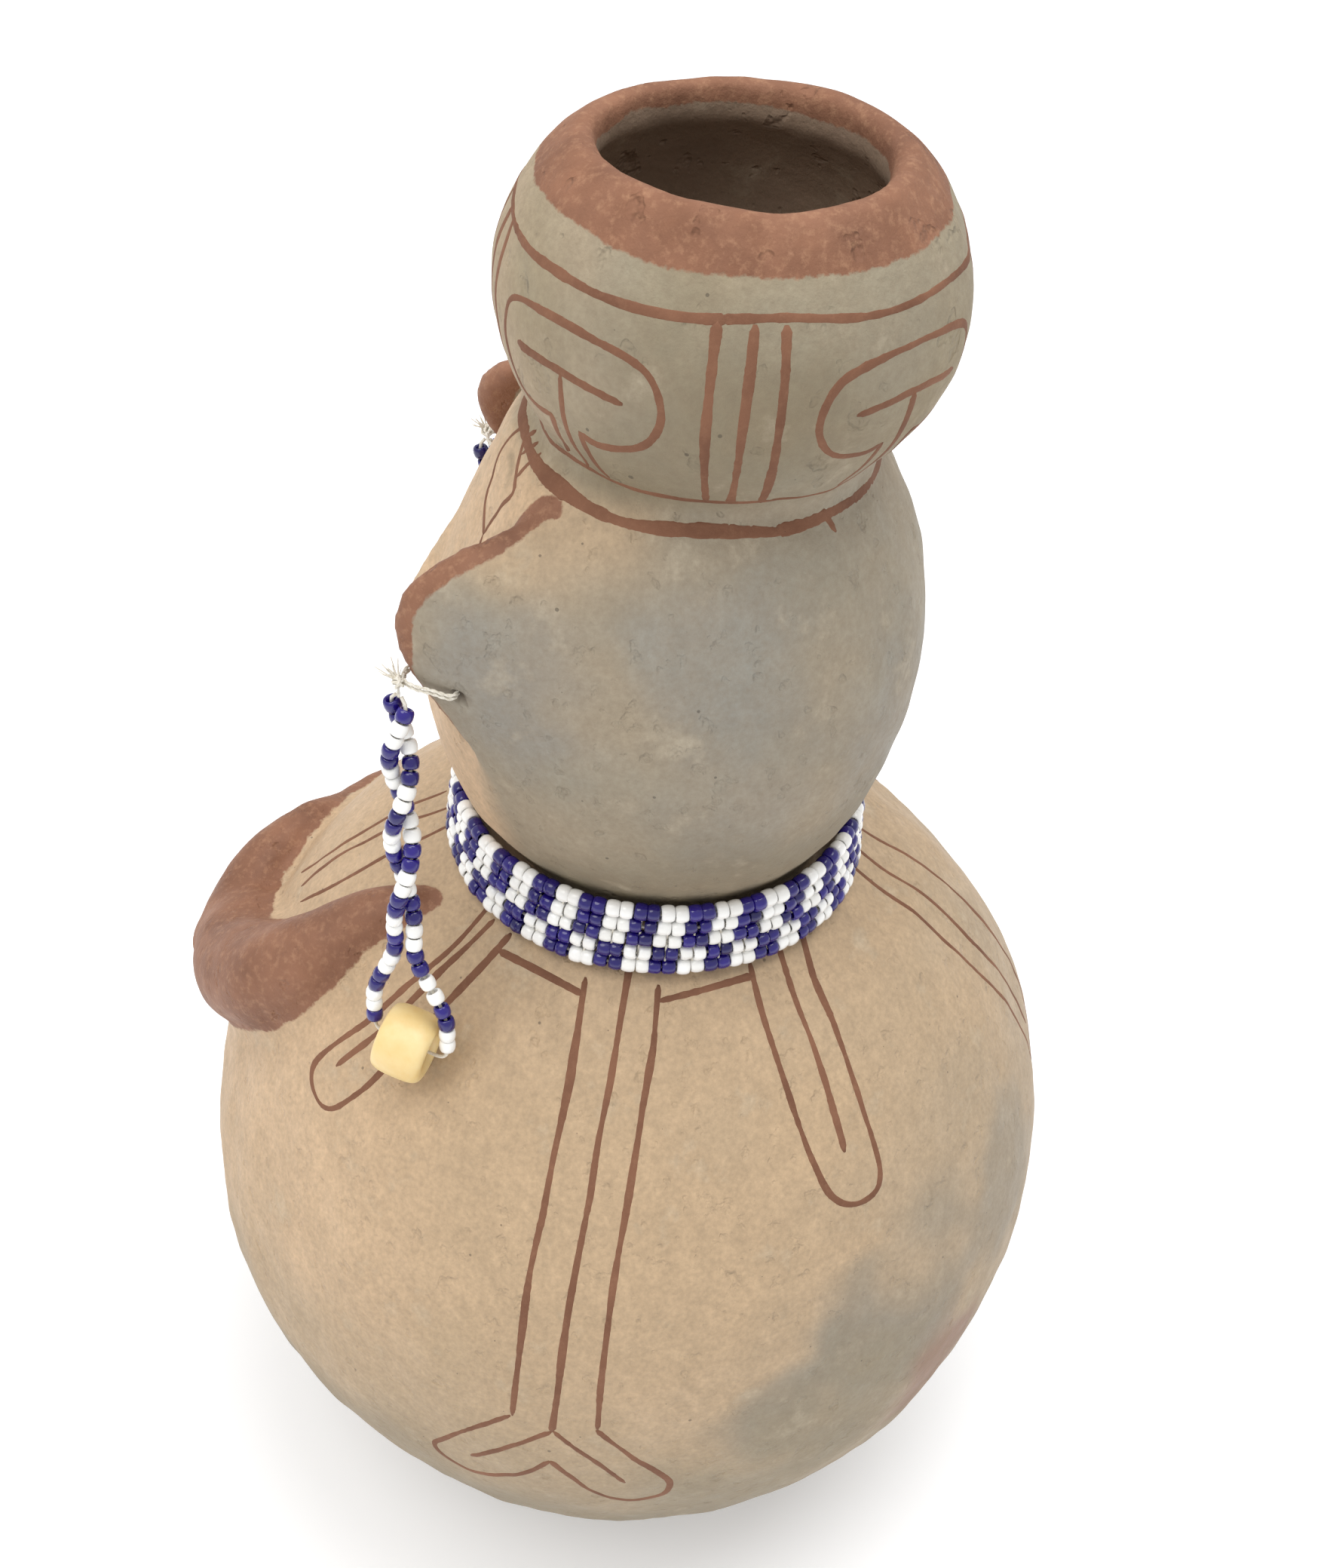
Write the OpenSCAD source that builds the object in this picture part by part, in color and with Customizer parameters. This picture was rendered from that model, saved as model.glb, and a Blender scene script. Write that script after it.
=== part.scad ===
// Hollow ceramic effigy jar with a woven bead collar and hanging bead earrings.
// Frame: +Z up, origin at the centre of the foot, the figure faces -Y, its left side is +X.

/* [Jar body] */
// Largest radius of the globular body
body_r = 62; // [60:0.5:64]
// Half height of the full body ellipsoid
body_h = 63; // [62:0.5:64]
// Height of the body's widest circle above the foot
body_z = 59.9; // [59:0.1:61]
// Thickness of the pot wall
wall = 5; // [4.5:0.1:5.5]
// Radius of the neck under the head
neck_r = 22; // [21.5:0.1:22.2]
// Radius of the passage from the body into the head
passage_r = 17; // [16:0.5:17.5]

/* [Head] */
// Largest radius of the head
head_r = 30.6; // [30:0.1:31.2]
// Half height of the full head ellipsoid
head_h = 38.5; // [38:0.1:39]
// Height of the head's widest circle
head_z = 151.1; // [150.5:0.1:151.5]

/* [Cup] */
// Largest radius of the cup
cup_r = 25.4; // [25:0.1:26]
// Half height of the full cup ellipsoid
cup_h = 21.7; // [21.3:0.1:22]
// Height of the cup's widest circle
cup_z = 196.7; // [196:0.1:197.5]
// How far the cup stands behind the jar's axis
cup_back = 2.7; // [2:0.1:3]
// Radius of the mouth
mouth_r = 14.9; // [14.5:0.1:15.2]
// Radius of the throat between the cup and the head
throat_r = 11.5; // [10:0.5:12]

/* [Ears] */
// How far the ear's rim stands out from the head
ear_reach = 10; // [9:0.5:11]
// Radius of the thread hole in each ear
ear_hole_r = 0.8; // [0.7:0.05:0.9]

/* [Collar] */
// Beads in one row of the collar
collar_count = 100; // [100:4:100]
// Radius of the collar's lowest row
collar_low_r = 26.8; // [26.75:0.05:26.9]
// Radius of the collar's highest row
collar_top_r = 26.1; // [26.05:0.05:26.15]

/* [Beads] */
// Outside diameter of a seed bead
bead_d = 2.1; // [2:0.05:2.1]
// Length of a seed bead along its hole
bead_len = 1.4; // [1.3:0.05:1.4]
// Radius of a seed bead's hole
bead_hole_r = 0.45; // [0.42:0.01:0.5]
// Outside diameter of the pony bead
pony_d = 9; // [8.6:0.1:9]
// Length of the pony bead along its hole
pony_len = 6.5; // [6:0.1:6.6]
// Radius of the pony bead's hole
pony_hole_r = 1.9; // [1.8:0.1:2.2]

/* [Hidden] */
COLLAR_ROWS = 5;
$fn = 48;
CLAY = [0.74, 0.62, 0.49];
SLIP = [0.5, 0.3, 0.24];
WHITE = [0.93, 0.93, 0.9];
BLUE = [0.16, 0.1, 0.5];
CREAM = [0.93, 0.84, 0.62];
THREAD = [0.92, 0.9, 0.86];

// Heights where the sub-parts meet, and the rim of the cup
neck_z = 121;
shoulder_r = 34;
head_low_z = 127;
cup_foot_r = 18.6;
lip_z = 212.9;
rim_r = mouth_r + 2.5;
floor_t = 5;
arc_steps = 34;

// Radius of an ellipsoid of revolution at height z, and height at radius r on its upper half
function radius_at(z, r, h, zc) = r * sqrt(max(0, 1 - pow((z - zc) / h, 2)));
function height_at(x, r, h, zc) = zc + h * sqrt(1 - pow(x / r, 2));
function arc_points(r, h, zc, a0, a1, n) =
    [for (i = [0:n]) let (a = a0 + (a1 - a0) * i / n) [r * cos(a), zc + h * sin(a)]];
function curve3(a, b, c, n) =
    [for (i = [1:n - 1]) let (t = i / n) a * pow(1 - t, 2) + 2 * b * t * (1 - t) + c * t * t];
function polar(r, a) = [r * cos(a), r * sin(a)];
function unit(v) = v / norm(v);

inner_r = body_r - wall;
inner_h = body_h - wall;
head_inner_r = head_r - wall;
head_inner_h = head_h - wall;
cup_inner_r = cup_r - wall + 0.2;
cup_inner_h = cup_h - wall + 0.3;

// ---- Body ----
foot_a = -asin(body_z / body_h);
shoulder_a = acos(shoulder_r / body_r);
shoulder = [shoulder_r, height_at(shoulder_r, body_r, body_h, body_z)];
body_outline = concat(
    arc_points(body_r, body_h, body_z, foot_a, shoulder_a, arc_steps),
    curve3(shoulder, [neck_r, neck_z - 1.1], [neck_r, neck_z], 6),
    [[neck_r, neck_z]]);
body_cavity = concat(
    [[passage_r, neck_z]],
    arc_points(inner_r, inner_h, body_z, acos(passage_r / inner_r), asin((floor_t - body_z) / inner_h), arc_steps),
    [[0, floor_t]]);

module body_solid() {
    rotate_extrude($fn = 120) polygon(concat([[0, 0]], body_outline, [[0, neck_z]]));
}
module body_jar() {
    color(CLAY) rotate_extrude() polygon(concat([[0, 0]], body_outline, body_cavity));
}

// ---- Head ----
head_low = [radius_at(head_low_z, head_r, head_h, head_z), head_low_z];
head_low_a = asin((head_low_z - head_z) / head_h);
head_outline = concat(
    [[neck_r, neck_z]],
    curve3([neck_r, neck_z], [neck_r, head_low_z - 2.9], head_low, 4),
    arc_points(head_r, head_h, head_z, head_low_a, 90, arc_steps));
head_cavity = concat(
    arc_points(head_inner_r, head_inner_h, head_z, 90, -acos(passage_r / head_inner_r), arc_steps),
    [[passage_r, neck_z]]);

module head_solid() {
    rotate_extrude($fn = 120) polygon(concat([[0, neck_z]], head_outline));
}
module head() {
    color(CLAY) difference() {
        rotate_extrude() polygon(concat(head_outline, head_cavity));
        cup_cavity();
        throat();
    }
}

// ---- Cup ----
cup_foot_a = -acos(cup_foot_r / cup_r);
cup_outline = concat(
    [[cup_foot_r, 174]],
    arc_points(cup_r, cup_h, cup_z, cup_foot_a, acos(rim_r / cup_r), arc_steps),
    [[mouth_r + 1.5, lip_z], [mouth_r + 0.5, lip_z - 0.2], [mouth_r, lip_z - 1]]);
cup_inner = arc_points(cup_inner_r, cup_inner_h, cup_z, acos(mouth_r / cup_inner_r), -90, arc_steps);

module cup_cavity() {
    translate([0, cup_back, 0]) rotate_extrude() polygon(concat(cup_inner, [[0, cup_inner[0][1]]]));
}
module throat() {
    translate([0, cup_back / 2, 170]) cylinder(r = throat_r, h = 22);
}
module cup() {
    color(CLAY) difference() {
        translate([0, cup_back, 0])
            rotate_extrude() polygon(concat([[0, 174]], cup_outline, cup_inner));
        head_solid();
        throat();
    }
}

// ---- Arms: tapered rolls of clay that run down the chest and join in front ----
// Each station: angle from the front, radius from the axis, height, thickness of the roll
ARM = [[31, 32.5, 113.2, 1.6], [29.5, 38, 109.5, 3.6], [27.5, 45, 103.2, 5.6], [23.5, 51.5, 95.6, 7],
    [16.5, 56, 88.6, 7.8], [8, 58.2, 84, 8.1], [-2, 58.8, 82.6, 8]];
arm_steps = 4;
arm_sides = 16;

function arm_station(i) = let (s = ARM[max(0, min(len(ARM) - 1, i))])
    [s[1] * sin(s[0]), -s[1] * cos(s[0]), s[2], s[3]];
function spline(p0, p1, p2, p3, t) = 0.5 * (2 * p1 + (p2 - p0) * t
    + (2 * p0 - 5 * p1 + 4 * p2 - p3) * t * t + (3 * p1 - p0 - 3 * p2 + p3) * t * t * t);
arm_route = concat([for (i = [0:len(ARM) - 2], j = [0:arm_steps - 1])
    spline(arm_station(i - 1), arm_station(i), arm_station(i + 1), arm_station(i + 2), j / arm_steps)],
    [arm_station(len(ARM) - 1)]);

// A closed tube through points p with radii q; sides points on each ring
function ring_axes(p, i) = let (
    d = unit(p[min(len(p) - 1, i + 1)] - p[max(0, i - 1)]),
    s = unit(cross(abs(d[2]) > 0.95 ? [0, 1, 0] : [0, 0, 1], d))) [s, cross(d, s)];
module tube(p, q, sides) {
    n = len(p);
    points = [for (i = [0:n - 1], k = [0:sides - 1]) let (x = ring_axes(p, i), a = 360 * k / sides)
        p[i] + q[i] * (cos(a) * x[0] + sin(a) * x[1])];
    faces = concat([[for (k = [0:sides - 1]) k]],
        [for (i = [0:n - 2], k = [0:sides - 1]) let (a = i * sides + k, b = i * sides + (k + 1) % sides)
            each [[a, a + sides, b + sides], [a, b + sides, b]]],
        [[for (k = [sides - 1:-1:0]) (n - 1) * sides + k]]);
    polyhedron(points, faces, convexity = 6);
}
module arm(side) {
    color(SLIP) difference() {
        scale([side, 1, 1]) tube([for (s = arm_route) [s[0], s[1], s[2]]], [for (s = arm_route) s[3]], arm_sides);
        body_solid();
        translate([side > 0 ? -40 : 0, -90, 50]) cube([40, 80, 80]);
    }
}
module left_arm() { arm(1); }
module right_arm() { arm(-1); }

// ---- Face ----
nose_top_z = 162;
nose_tip_z = 148;
nose_top_r = 1.8;
nose_tip_r = 3.4;
module nose() {
    bridge = [0, -radius_at(nose_top_z, head_r, head_h, head_z) + 0.8, nose_top_z];
    tip = [0, -radius_at(nose_tip_z, head_r, head_h, head_z) + 0.2, nose_tip_z];
    color(CLAY) difference() {
        union() {
            translate(tip) along(bridge - tip) cylinder(r1 = nose_tip_r, r2 = nose_top_r, h = norm(bridge - tip));
            translate(bridge) sphere(r = nose_top_r);
            translate(tip) sphere(r = nose_tip_r);
            for (x = [-2.7, 2.7]) translate(tip + [x, 0.7, -0.6]) sphere(r = 2.2);
        }
        head_solid();
    }
}
lips_z = 137.4;
rounding_r = 1.25;
mouth_half = 4.2;
module mouth_lips() {
    color(CLAY) difference() {
        for (lip = [-1, 1]) {
            z = lips_z + lip * 1.3;
            translate([0, -radius_at(z, head_r, head_h, head_z) + 0.1, z]) {
                rotate([0, 90, 0]) cylinder(r = rounding_r, h = 2 * mouth_half, center = true);
                for (x = [-mouth_half, mouth_half]) translate([x, 0, 0]) sphere(r = rounding_r);
            }
        }
        head_solid();
    }
}

// ---- Ears: flaps drawn forward from the back of the head, hollow in front ----
EAR_Z = [140, 177.6];
ear_steps = 14;
ear_root_a = 37.5;
ear_sweep = 10.7;
function ear_swell(t) = max(0.02, sin(180 * pow(t, 2.11)));
function ear_ring(t) = let (
    z = EAR_Z[0] + (EAR_Z[1] - EAR_Z[0]) * t,
    s = ear_swell(t),
    rh = radius_at(z, head_r, head_h, head_z),
    rr = rh + ear_reach * s,
    a = -ear_root_a - ear_sweep * s,
    back_a = a + acos(rh / rr),
    back = polar(rh, back_a),
    rim = polar(rr, a),
    u = unit(back - rim),
    n = [-cos(back_a), -sin(back_a)],
    th = 1 + 2.4 * s,
    run = norm(back - rim))
    [for (q = [back, rim + u * run * 0.5 - n * 0.5 * s, rim, rim + n * th * 0.5 - u * 0.8 * s, rim + n * th,
        rim + n * th * 1.15 + u * run * 0.35, polar(rh - 3, a - 4), polar(rh - 3, back_a)]) [q[0], q[1], z]];
ear_sides = 8;
EAR_HOLE = [-21.6, 159.1];

module ear(side) {
    points = [for (i = [0:ear_steps]) each ear_ring(i / ear_steps)];
    faces = concat([[for (k = [0:ear_sides - 1]) k]],
        [for (i = [0:ear_steps - 1], k = [0:ear_sides - 1])
            let (a = i * ear_sides + k, b = i * ear_sides + (k + 1) % ear_sides)
            each [[a, a + ear_sides, b + ear_sides], [a, b + ear_sides, b]]],
        [[for (k = [ear_sides - 1:-1:0]) ear_steps * ear_sides + k]]);
    color(SLIP) difference() {
        scale([side, 1, 1]) polyhedron(points, faces, convexity = 6);
        head_solid();
        translate([side * 25.2, EAR_HOLE[0], EAR_HOLE[1]]) rotate([0, 90, 0])
            cylinder(r = ear_hole_r, h = 6, center = true);
    }
}
module left_ear() { ear(1); }
module right_ear() { ear(-1); }

// ---- Beads ----
chamfer = 0.3;
module ring_bead(d, hole, length, cut) {
    rotate_extrude($fn = 20) polygon([[hole, -length / 2], [d / 2 - cut, -length / 2], [d / 2, -length / 2 + cut],
        [d / 2, length / 2 - cut], [d / 2 - cut, length / 2], [hole, length / 2]]);
}
module along(direction) {
    d = unit(direction);
    rotate([0, acos(d[2]), atan2(d[1], d[0])]) children();
}

// ---- Collar: rows of beads on a slightly conical band, paired white and blue ----
COLLAR_LOW_Z = 119.1;
COLLAR_TOP_Z = 127.6;
function row_at(row) = let (t = (row - 1) / (COLLAR_ROWS - 1))
    [collar_low_r + (collar_top_r - collar_low_r) * t, COLLAR_LOW_Z + (COLLAR_TOP_Z - COLLAR_LOW_Z) * t];
// Rows 1 and 2 are half a repeat out of step with rows 3 to 5
function row_shift(row) = row <= 2 ? 2 : 0;
module collar_row(row, blue) {
    at = row_at(row);
    color(blue ? BLUE : WHITE)
        for (i = [0:collar_count - 1]) if ((((i + row_shift(row)) % 4) < 2) == blue)
            rotate([0, 0, 360 * i / collar_count]) translate([at[0], 0, at[1]]) rotate([90, 0, 0])
                ring_bead(bead_d, bead_hole_r, bead_len, chamfer);
}
collar_thread_r = 0.18;
module collar_threads() {
    color(THREAD) for (row = [1:COLLAR_ROWS])
        rotate_extrude() translate(row_at(row)) circle(r = collar_thread_r, $fn = 16);
}

// ---- Earrings: a double strand hangs from a knot at the ear and carries a pony bead ----
KNOT = [26.4, -28, 159.2];
PONY = [36.7, -25.9, 110.5];
pony_tilt = 8.5;
pony_turn = 13;
strand_top = [26.8, -28, 157.6];
spread_run = 1;
strand_axis = unit(PONY - strand_top);
strand_run = norm(PONY - strand_top);
pony_axis = [cos(pony_tilt) * sin(pony_turn), cos(pony_tilt) * cos(pony_turn), -sin(pony_tilt)];
across = unit(cross(strand_axis, pony_axis));
twist_run = 33;
twist_gap = 1.2;
loop_half = 4.9;
loop_ease = 10.5;
loop_shift = 0.55;
bend_r = 1.5;
bead_step = 1.63;
first_bead = 1.75;
beads_per_strand = 28;
thread_r = 0.22;

// Share of the closing loop's width, half gap between the strands and turn of the twist, s below the knot
function loop_part(s) = s < twist_run ? 0 : (1 - cos(180 * min(1, (s - twist_run) / loop_ease))) / 2;
function strand_gap(s) = 0.35 + (twist_gap - 0.35) * min(1, s / spread_run) + (loop_half - twist_gap) * loop_part(s);
function strand_turn(s) = s < twist_run ? -540 * pow(1 - s / twist_run, 1.15) : 0;
function strand_point(s, way) = strand_top + strand_axis * s + loop_shift * loop_part(s) * pony_axis
    + way * strand_gap(s) * (cos(strand_turn(s)) * pony_axis + sin(strand_turn(s)) * across);
function strand_direction(s, way) = strand_point(s + 0.4, way) - strand_point(s - 0.4, way);
bend_s = strand_run - bend_r;
function bend_point(a, way) = PONY + (loop_shift + way * (loop_half - bend_r + bend_r * cos(a))) * pony_axis
    - strand_axis * bend_r * (1 - sin(a));
strand_steps = 34;
strand_half = [for (i = [0:strand_steps]) bend_s * i / strand_steps];
earring_route = concat(
    [for (s = strand_half) strand_point(s, 1)],
    [for (a = [30, 60, 90]) bend_point(a, 1)],
    [for (a = [90, 60, 30]) bend_point(a, -1)],
    [for (i = [strand_steps:-1:0]) strand_point(strand_half[i], -1)]);

module sided(side) { scale([side, 1, 1]) children(); }
module earring_thread(side) {
    color(THREAD) sided(side) tube(earring_route, [for (p = earring_route) thread_r], 8);
}
module earring_beads(side, blue) {
    color(blue ? BLUE : WHITE) sided(side)
        for (way = [-1, 1], i = [0:beads_per_strand - 1]) let (s = first_bead + bead_step * i)
            if (((i + (way > 0 ? 0 : 1)) % 4 < 2) == blue)
                translate(strand_point(s, way)) along(strand_direction(s, way))
                    ring_bead(bead_d, bead_hole_r, bead_len, chamfer);
}
module pony_bead(side) {
    color(CREAM) sided(side) translate(PONY) along(pony_axis) ring_bead(pony_d, pony_hole_r, pony_len, 1.3);
}

// Loop of thread that passes through the ear's hole and round the ear's edge
LOOP = [[23, -21.6, 159.1], [27.5, -21.6, 159.1], [27.3, -24.2, 159.1], [26.9, -26.4, 159.2], [25.9, -27.5, 159.2],
    [24.2, -27.5, 159.2], [22.9, -26.4, 159.1], [22.7, -24, 159.1]];
loop_r = 0.3;
loop_sides = 8;
module ear_loop(side) {
    n = len(LOOP);
    points = [for (i = [0:n - 1], k = [0:loop_sides - 1])
        let (d = unit(LOOP[(i + 1) % n] - LOOP[(i + n - 1) % n]), s = unit(cross([0, 0, 1], d)), w = cross(d, s),
            a = 360 * k / loop_sides) LOOP[i] + loop_r * (cos(a) * s + sin(a) * w)];
    faces = [for (i = [0:n - 1], k = [0:loop_sides - 1])
        let (a = i * loop_sides, b = ((i + 1) % n) * loop_sides, c = (k + 1) % loop_sides)
        each [[a + k, b + k, b + c], [a + k, b + c, a + c]]];
    color(THREAD) sided(side) polyhedron(points, faces, convexity = 6);
}
module ear_knot(side) {
    color(THREAD) sided(side) translate(KNOT) rotate([90, 0, 0]) {
        cylinder(r = 1.1, h = 1.4, center = true);
        translate([0, 0, 0.7]) cylinder(r1 = 1.1, r2 = 0.7, h = 0.4);
        translate([0, 0, -1.1]) cylinder(r1 = 0.7, r2 = 1.1, h = 0.4);
    }
}
module left_ear_loop() { ear_loop(1); }
module right_ear_loop() { ear_loop(-1); }
module left_ear_knot() { ear_knot(1); }
module right_ear_knot() { ear_knot(-1); }
module left_earring_thread() { earring_thread(1); }
module right_earring_thread() { earring_thread(-1); }
module left_earring_white() { earring_beads(1, false); }
module right_earring_white() { earring_beads(-1, false); }
module left_earring_blue() { earring_beads(1, true); }
module right_earring_blue() { earring_beads(-1, true); }
module left_pony_bead() { pony_bead(1); }
module right_pony_bead() { pony_bead(-1); }

body_jar();
head();
cup();
left_arm();
right_arm();
nose();
mouth_lips();
left_ear();
right_ear();
collar_row(1, false);  // collar_row_1_white
collar_row(1, true);  // collar_row_1_blue
collar_row(2, false);  // collar_row_2_white
collar_row(2, true);  // collar_row_2_blue
collar_row(3, false);  // collar_row_3_white
collar_row(3, true);  // collar_row_3_blue
collar_row(4, false);  // collar_row_4_white
collar_row(4, true);  // collar_row_4_blue
collar_row(5, false);  // collar_row_5_white
collar_row(5, true);  // collar_row_5_blue
collar_threads();
left_ear_loop();
left_ear_knot();
left_earring_thread();
left_earring_white();
left_earring_blue();
left_pony_bead();
right_ear_loop();
right_ear_knot();
right_earring_thread();
right_earring_white();
right_earring_blue();
right_pony_bead();
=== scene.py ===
"""Beaded ceramic effigy jar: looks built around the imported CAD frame. Lengths are in metres."""

import math

import bpy
import numpy as np
from mathutils import Matrix, Vector
from mathutils.bvhtree import BVHTree


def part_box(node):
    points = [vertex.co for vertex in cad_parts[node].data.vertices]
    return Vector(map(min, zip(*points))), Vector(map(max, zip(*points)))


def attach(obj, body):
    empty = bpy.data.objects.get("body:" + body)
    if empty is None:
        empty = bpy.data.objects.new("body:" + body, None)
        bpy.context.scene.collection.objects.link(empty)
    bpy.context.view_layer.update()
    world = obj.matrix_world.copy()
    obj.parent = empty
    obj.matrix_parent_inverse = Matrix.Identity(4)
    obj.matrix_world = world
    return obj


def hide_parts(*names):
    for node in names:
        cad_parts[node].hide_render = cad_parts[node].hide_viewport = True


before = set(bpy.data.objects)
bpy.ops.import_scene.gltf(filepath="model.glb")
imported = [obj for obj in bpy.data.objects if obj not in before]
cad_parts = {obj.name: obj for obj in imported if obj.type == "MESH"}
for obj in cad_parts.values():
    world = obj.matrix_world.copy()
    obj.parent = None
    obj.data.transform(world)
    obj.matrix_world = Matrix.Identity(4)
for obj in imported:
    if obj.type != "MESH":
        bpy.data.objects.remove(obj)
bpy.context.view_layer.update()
MM = 0.001
rng = np.random.default_rng(7)


# ------------------------------------------------------------------ sizes taken from the frame
def node_box(name):
    low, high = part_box(name)
    return np.array(low), np.array(high)


BODY_LOW, BODY_HIGH = node_box("body_jar")
HEAD_HIGH = node_box("head")[1]
CUP_LOW, CUP_HIGH = node_box("cup")
NECK_Z = BODY_HIGH[2]
WALL = 5 * MM
NECK_R = 22 * MM
PASSAGE_R = 17 * MM
THROAT_R = 11.5 * MM
MOUTH_R = 14.9 * MM


class Spheroid:
    """An ellipsoid of revolution about a vertical line through (0, y)."""

    def __init__(self, r, h, z, y=0.0):
        self.r, self.h, self.z, self.y = r, h, z, y

    def radius(self, z):
        return self.r * np.sqrt(np.maximum(0, 1 - ((z - self.z) / self.h) ** 2))

    def height(self, r):
        return self.z + self.h * math.sqrt(1 - (r / self.r) ** 2)

    def arc(self, a0, a1, steps):
        angles = np.radians(np.linspace(a0, a1, steps + 1))
        return [(self.r * math.cos(a), self.z + self.h * math.sin(a)) for a in angles]

    def point(self, turn, z, out=0.0):
        """A point at an angle about Z, in degrees from +X, and a height."""
        r = float(self.radius(z)) + out
        a = math.radians(turn)
        return np.array([r * math.cos(a), self.y + r * math.sin(a), z])

    def normal(self, p):
        n = np.array([p[0] / self.r**2, (p[1] - self.y) / self.r**2, (p[2] - self.z) / self.h**2])
        return n / np.linalg.norm(n)

    def off(self, p):
        """About how far points p stand outside the surface."""
        q = np.sqrt((p[:, 0] ** 2 + (p[:, 1] - self.y) ** 2) / self.r**2 + ((p[:, 2] - self.z) / self.h) ** 2)
        return (q - 1) * self.r


body_r = BODY_HIGH[0]
head_r = HEAD_HIGH[0]
cup_r = CUP_HIGH[0]
BODY = Spheroid(body_r, body_r * 63 / 62, NECK_Z * 59.9 / 121)
HEAD = Spheroid(head_r, head_r * 38.5 / 30.6, NECK_Z + 30.1 * MM)
CUP = Spheroid(cup_r, cup_r * 21.7 / 25.4, CUP_HIGH[2] - 16.2 * MM, (CUP_LOW[1] + CUP_HIGH[1]) / 2)
BODY_IN = Spheroid(BODY.r - WALL, BODY.h - WALL, BODY.z)
HEAD_IN = Spheroid(HEAD.r - WALL, HEAD.h - WALL, HEAD.z)
CUP_IN = Spheroid(CUP.r - 4.8 * MM, CUP.h - 4.7 * MM, CUP.z, CUP.y)

# ------------------------------------------------------------------ camera
CAMERA_AT = (0.1765, 0.0086, 0.2860)
CAMERA_PITCH = 42.3
CAMERA_ROLL = 5.7
CAMERA_TURN = 92.5
CAMERA_LENS = 41.56


def make_camera():
    pitch = math.radians(CAMERA_PITCH)
    right = Vector((1, 0, 0))
    up = Vector((0, math.sin(pitch), math.cos(pitch)))
    back = Vector((0, -math.cos(pitch), math.sin(pitch)))
    roll = Matrix.Rotation(-math.radians(CAMERA_ROLL), 3, back)
    turn = Matrix.Rotation(math.radians(CAMERA_TURN), 3, "Z")
    axes = [turn @ (roll.inverted() @ v) for v in (right, up, back)]
    data = bpy.data.cameras.new("camera")
    data.sensor_width = 36
    data.lens = CAMERA_LENS
    data.clip_start = 0.01
    camera = bpy.data.objects.new("camera", data)
    bpy.context.scene.collection.objects.link(camera)
    m = Matrix((axes[0], axes[1], axes[2])).transposed().to_4x4()
    camera.matrix_world = Matrix.Translation(Vector(CAMERA_AT)) @ m
    bpy.context.scene.camera = camera


make_camera()


# ------------------------------------------------------------------ mesh helpers
def make_piece(name, points, faces, material=None, smooth=True):
    mesh = bpy.data.meshes.new(name)
    mesh.from_pydata([tuple(p) for p in points], [], [tuple(f) for f in faces])
    mesh.validate()
    if smooth:
        mesh.polygons.foreach_set("use_smooth", [True] * len(mesh.polygons))
    piece = bpy.data.objects.new(name, mesh)
    bpy.context.scene.collection.objects.link(piece)
    if material:
        mesh.materials.append(material)
    return piece


def placed(piece, body, nodes):
    """Let a piece ride on a body and stand in for its CAD nodes."""
    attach(piece, body)
    if nodes:
        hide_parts(*nodes)
    return piece


def coords(mesh):
    co = np.zeros(len(mesh.vertices) * 3)
    mesh.vertices.foreach_get("co", co)
    return co.reshape(-1, 3)


def unit(v):
    return v / np.linalg.norm(v)


def revolve(profile, steps, y=0.0):
    """A closed surface from an (r, z) outline; r = 0 makes a pole."""
    points, rings = [], []
    for r, z in profile:
        if r < 1e-9:
            rings.append([len(points)])
            points.append((0, y, z))
        else:
            rings.append(list(range(len(points), len(points) + steps)))
            for k in range(steps):
                a = 2 * math.pi * k / steps
                points.append((r * math.cos(a), y + r * math.sin(a), z))
    faces = []
    pairs = list(zip(rings, rings[1:]))
    if len(rings[0]) > 1:
        pairs.append((rings[-1], rings[0]))
    for a, b in pairs:
        for k in range(steps):
            k1 = (k + 1) % steps
            if len(a) == 1 and len(b) == 1:
                continue
            if len(a) == 1:
                faces.append((a[0], b[k1], b[k]))
            elif len(b) == 1:
                faces.append((a[k], a[k1], b[0]))
            else:
                faces.append((a[k], a[k1], b[k1], b[k]))
    return points, faces


def spline(points, per_span, closed=False):
    """Catmull-Rom curve through points."""
    p = np.array(points, float)
    n = len(p)
    out = []
    for i in range(n if closed else n - 1):
        if closed:
            q = [p[(i + k) % n] for k in (-1, 0, 1, 2)]
        else:
            q = [p[min(n - 1, max(0, i + k))] for k in (-1, 0, 1, 2)]
        for j in range(per_span):
            t = j / per_span
            out.append(0.5 * (2 * q[1] + (q[2] - q[0]) * t + (2 * q[0] - 5 * q[1] + 4 * q[2] - q[3]) * t**2
                              + (3 * q[1] - q[0] - 3 * q[2] + q[3]) * t**3))
    if not closed:
        out.append(p[-1])
    return np.array(out)


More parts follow.
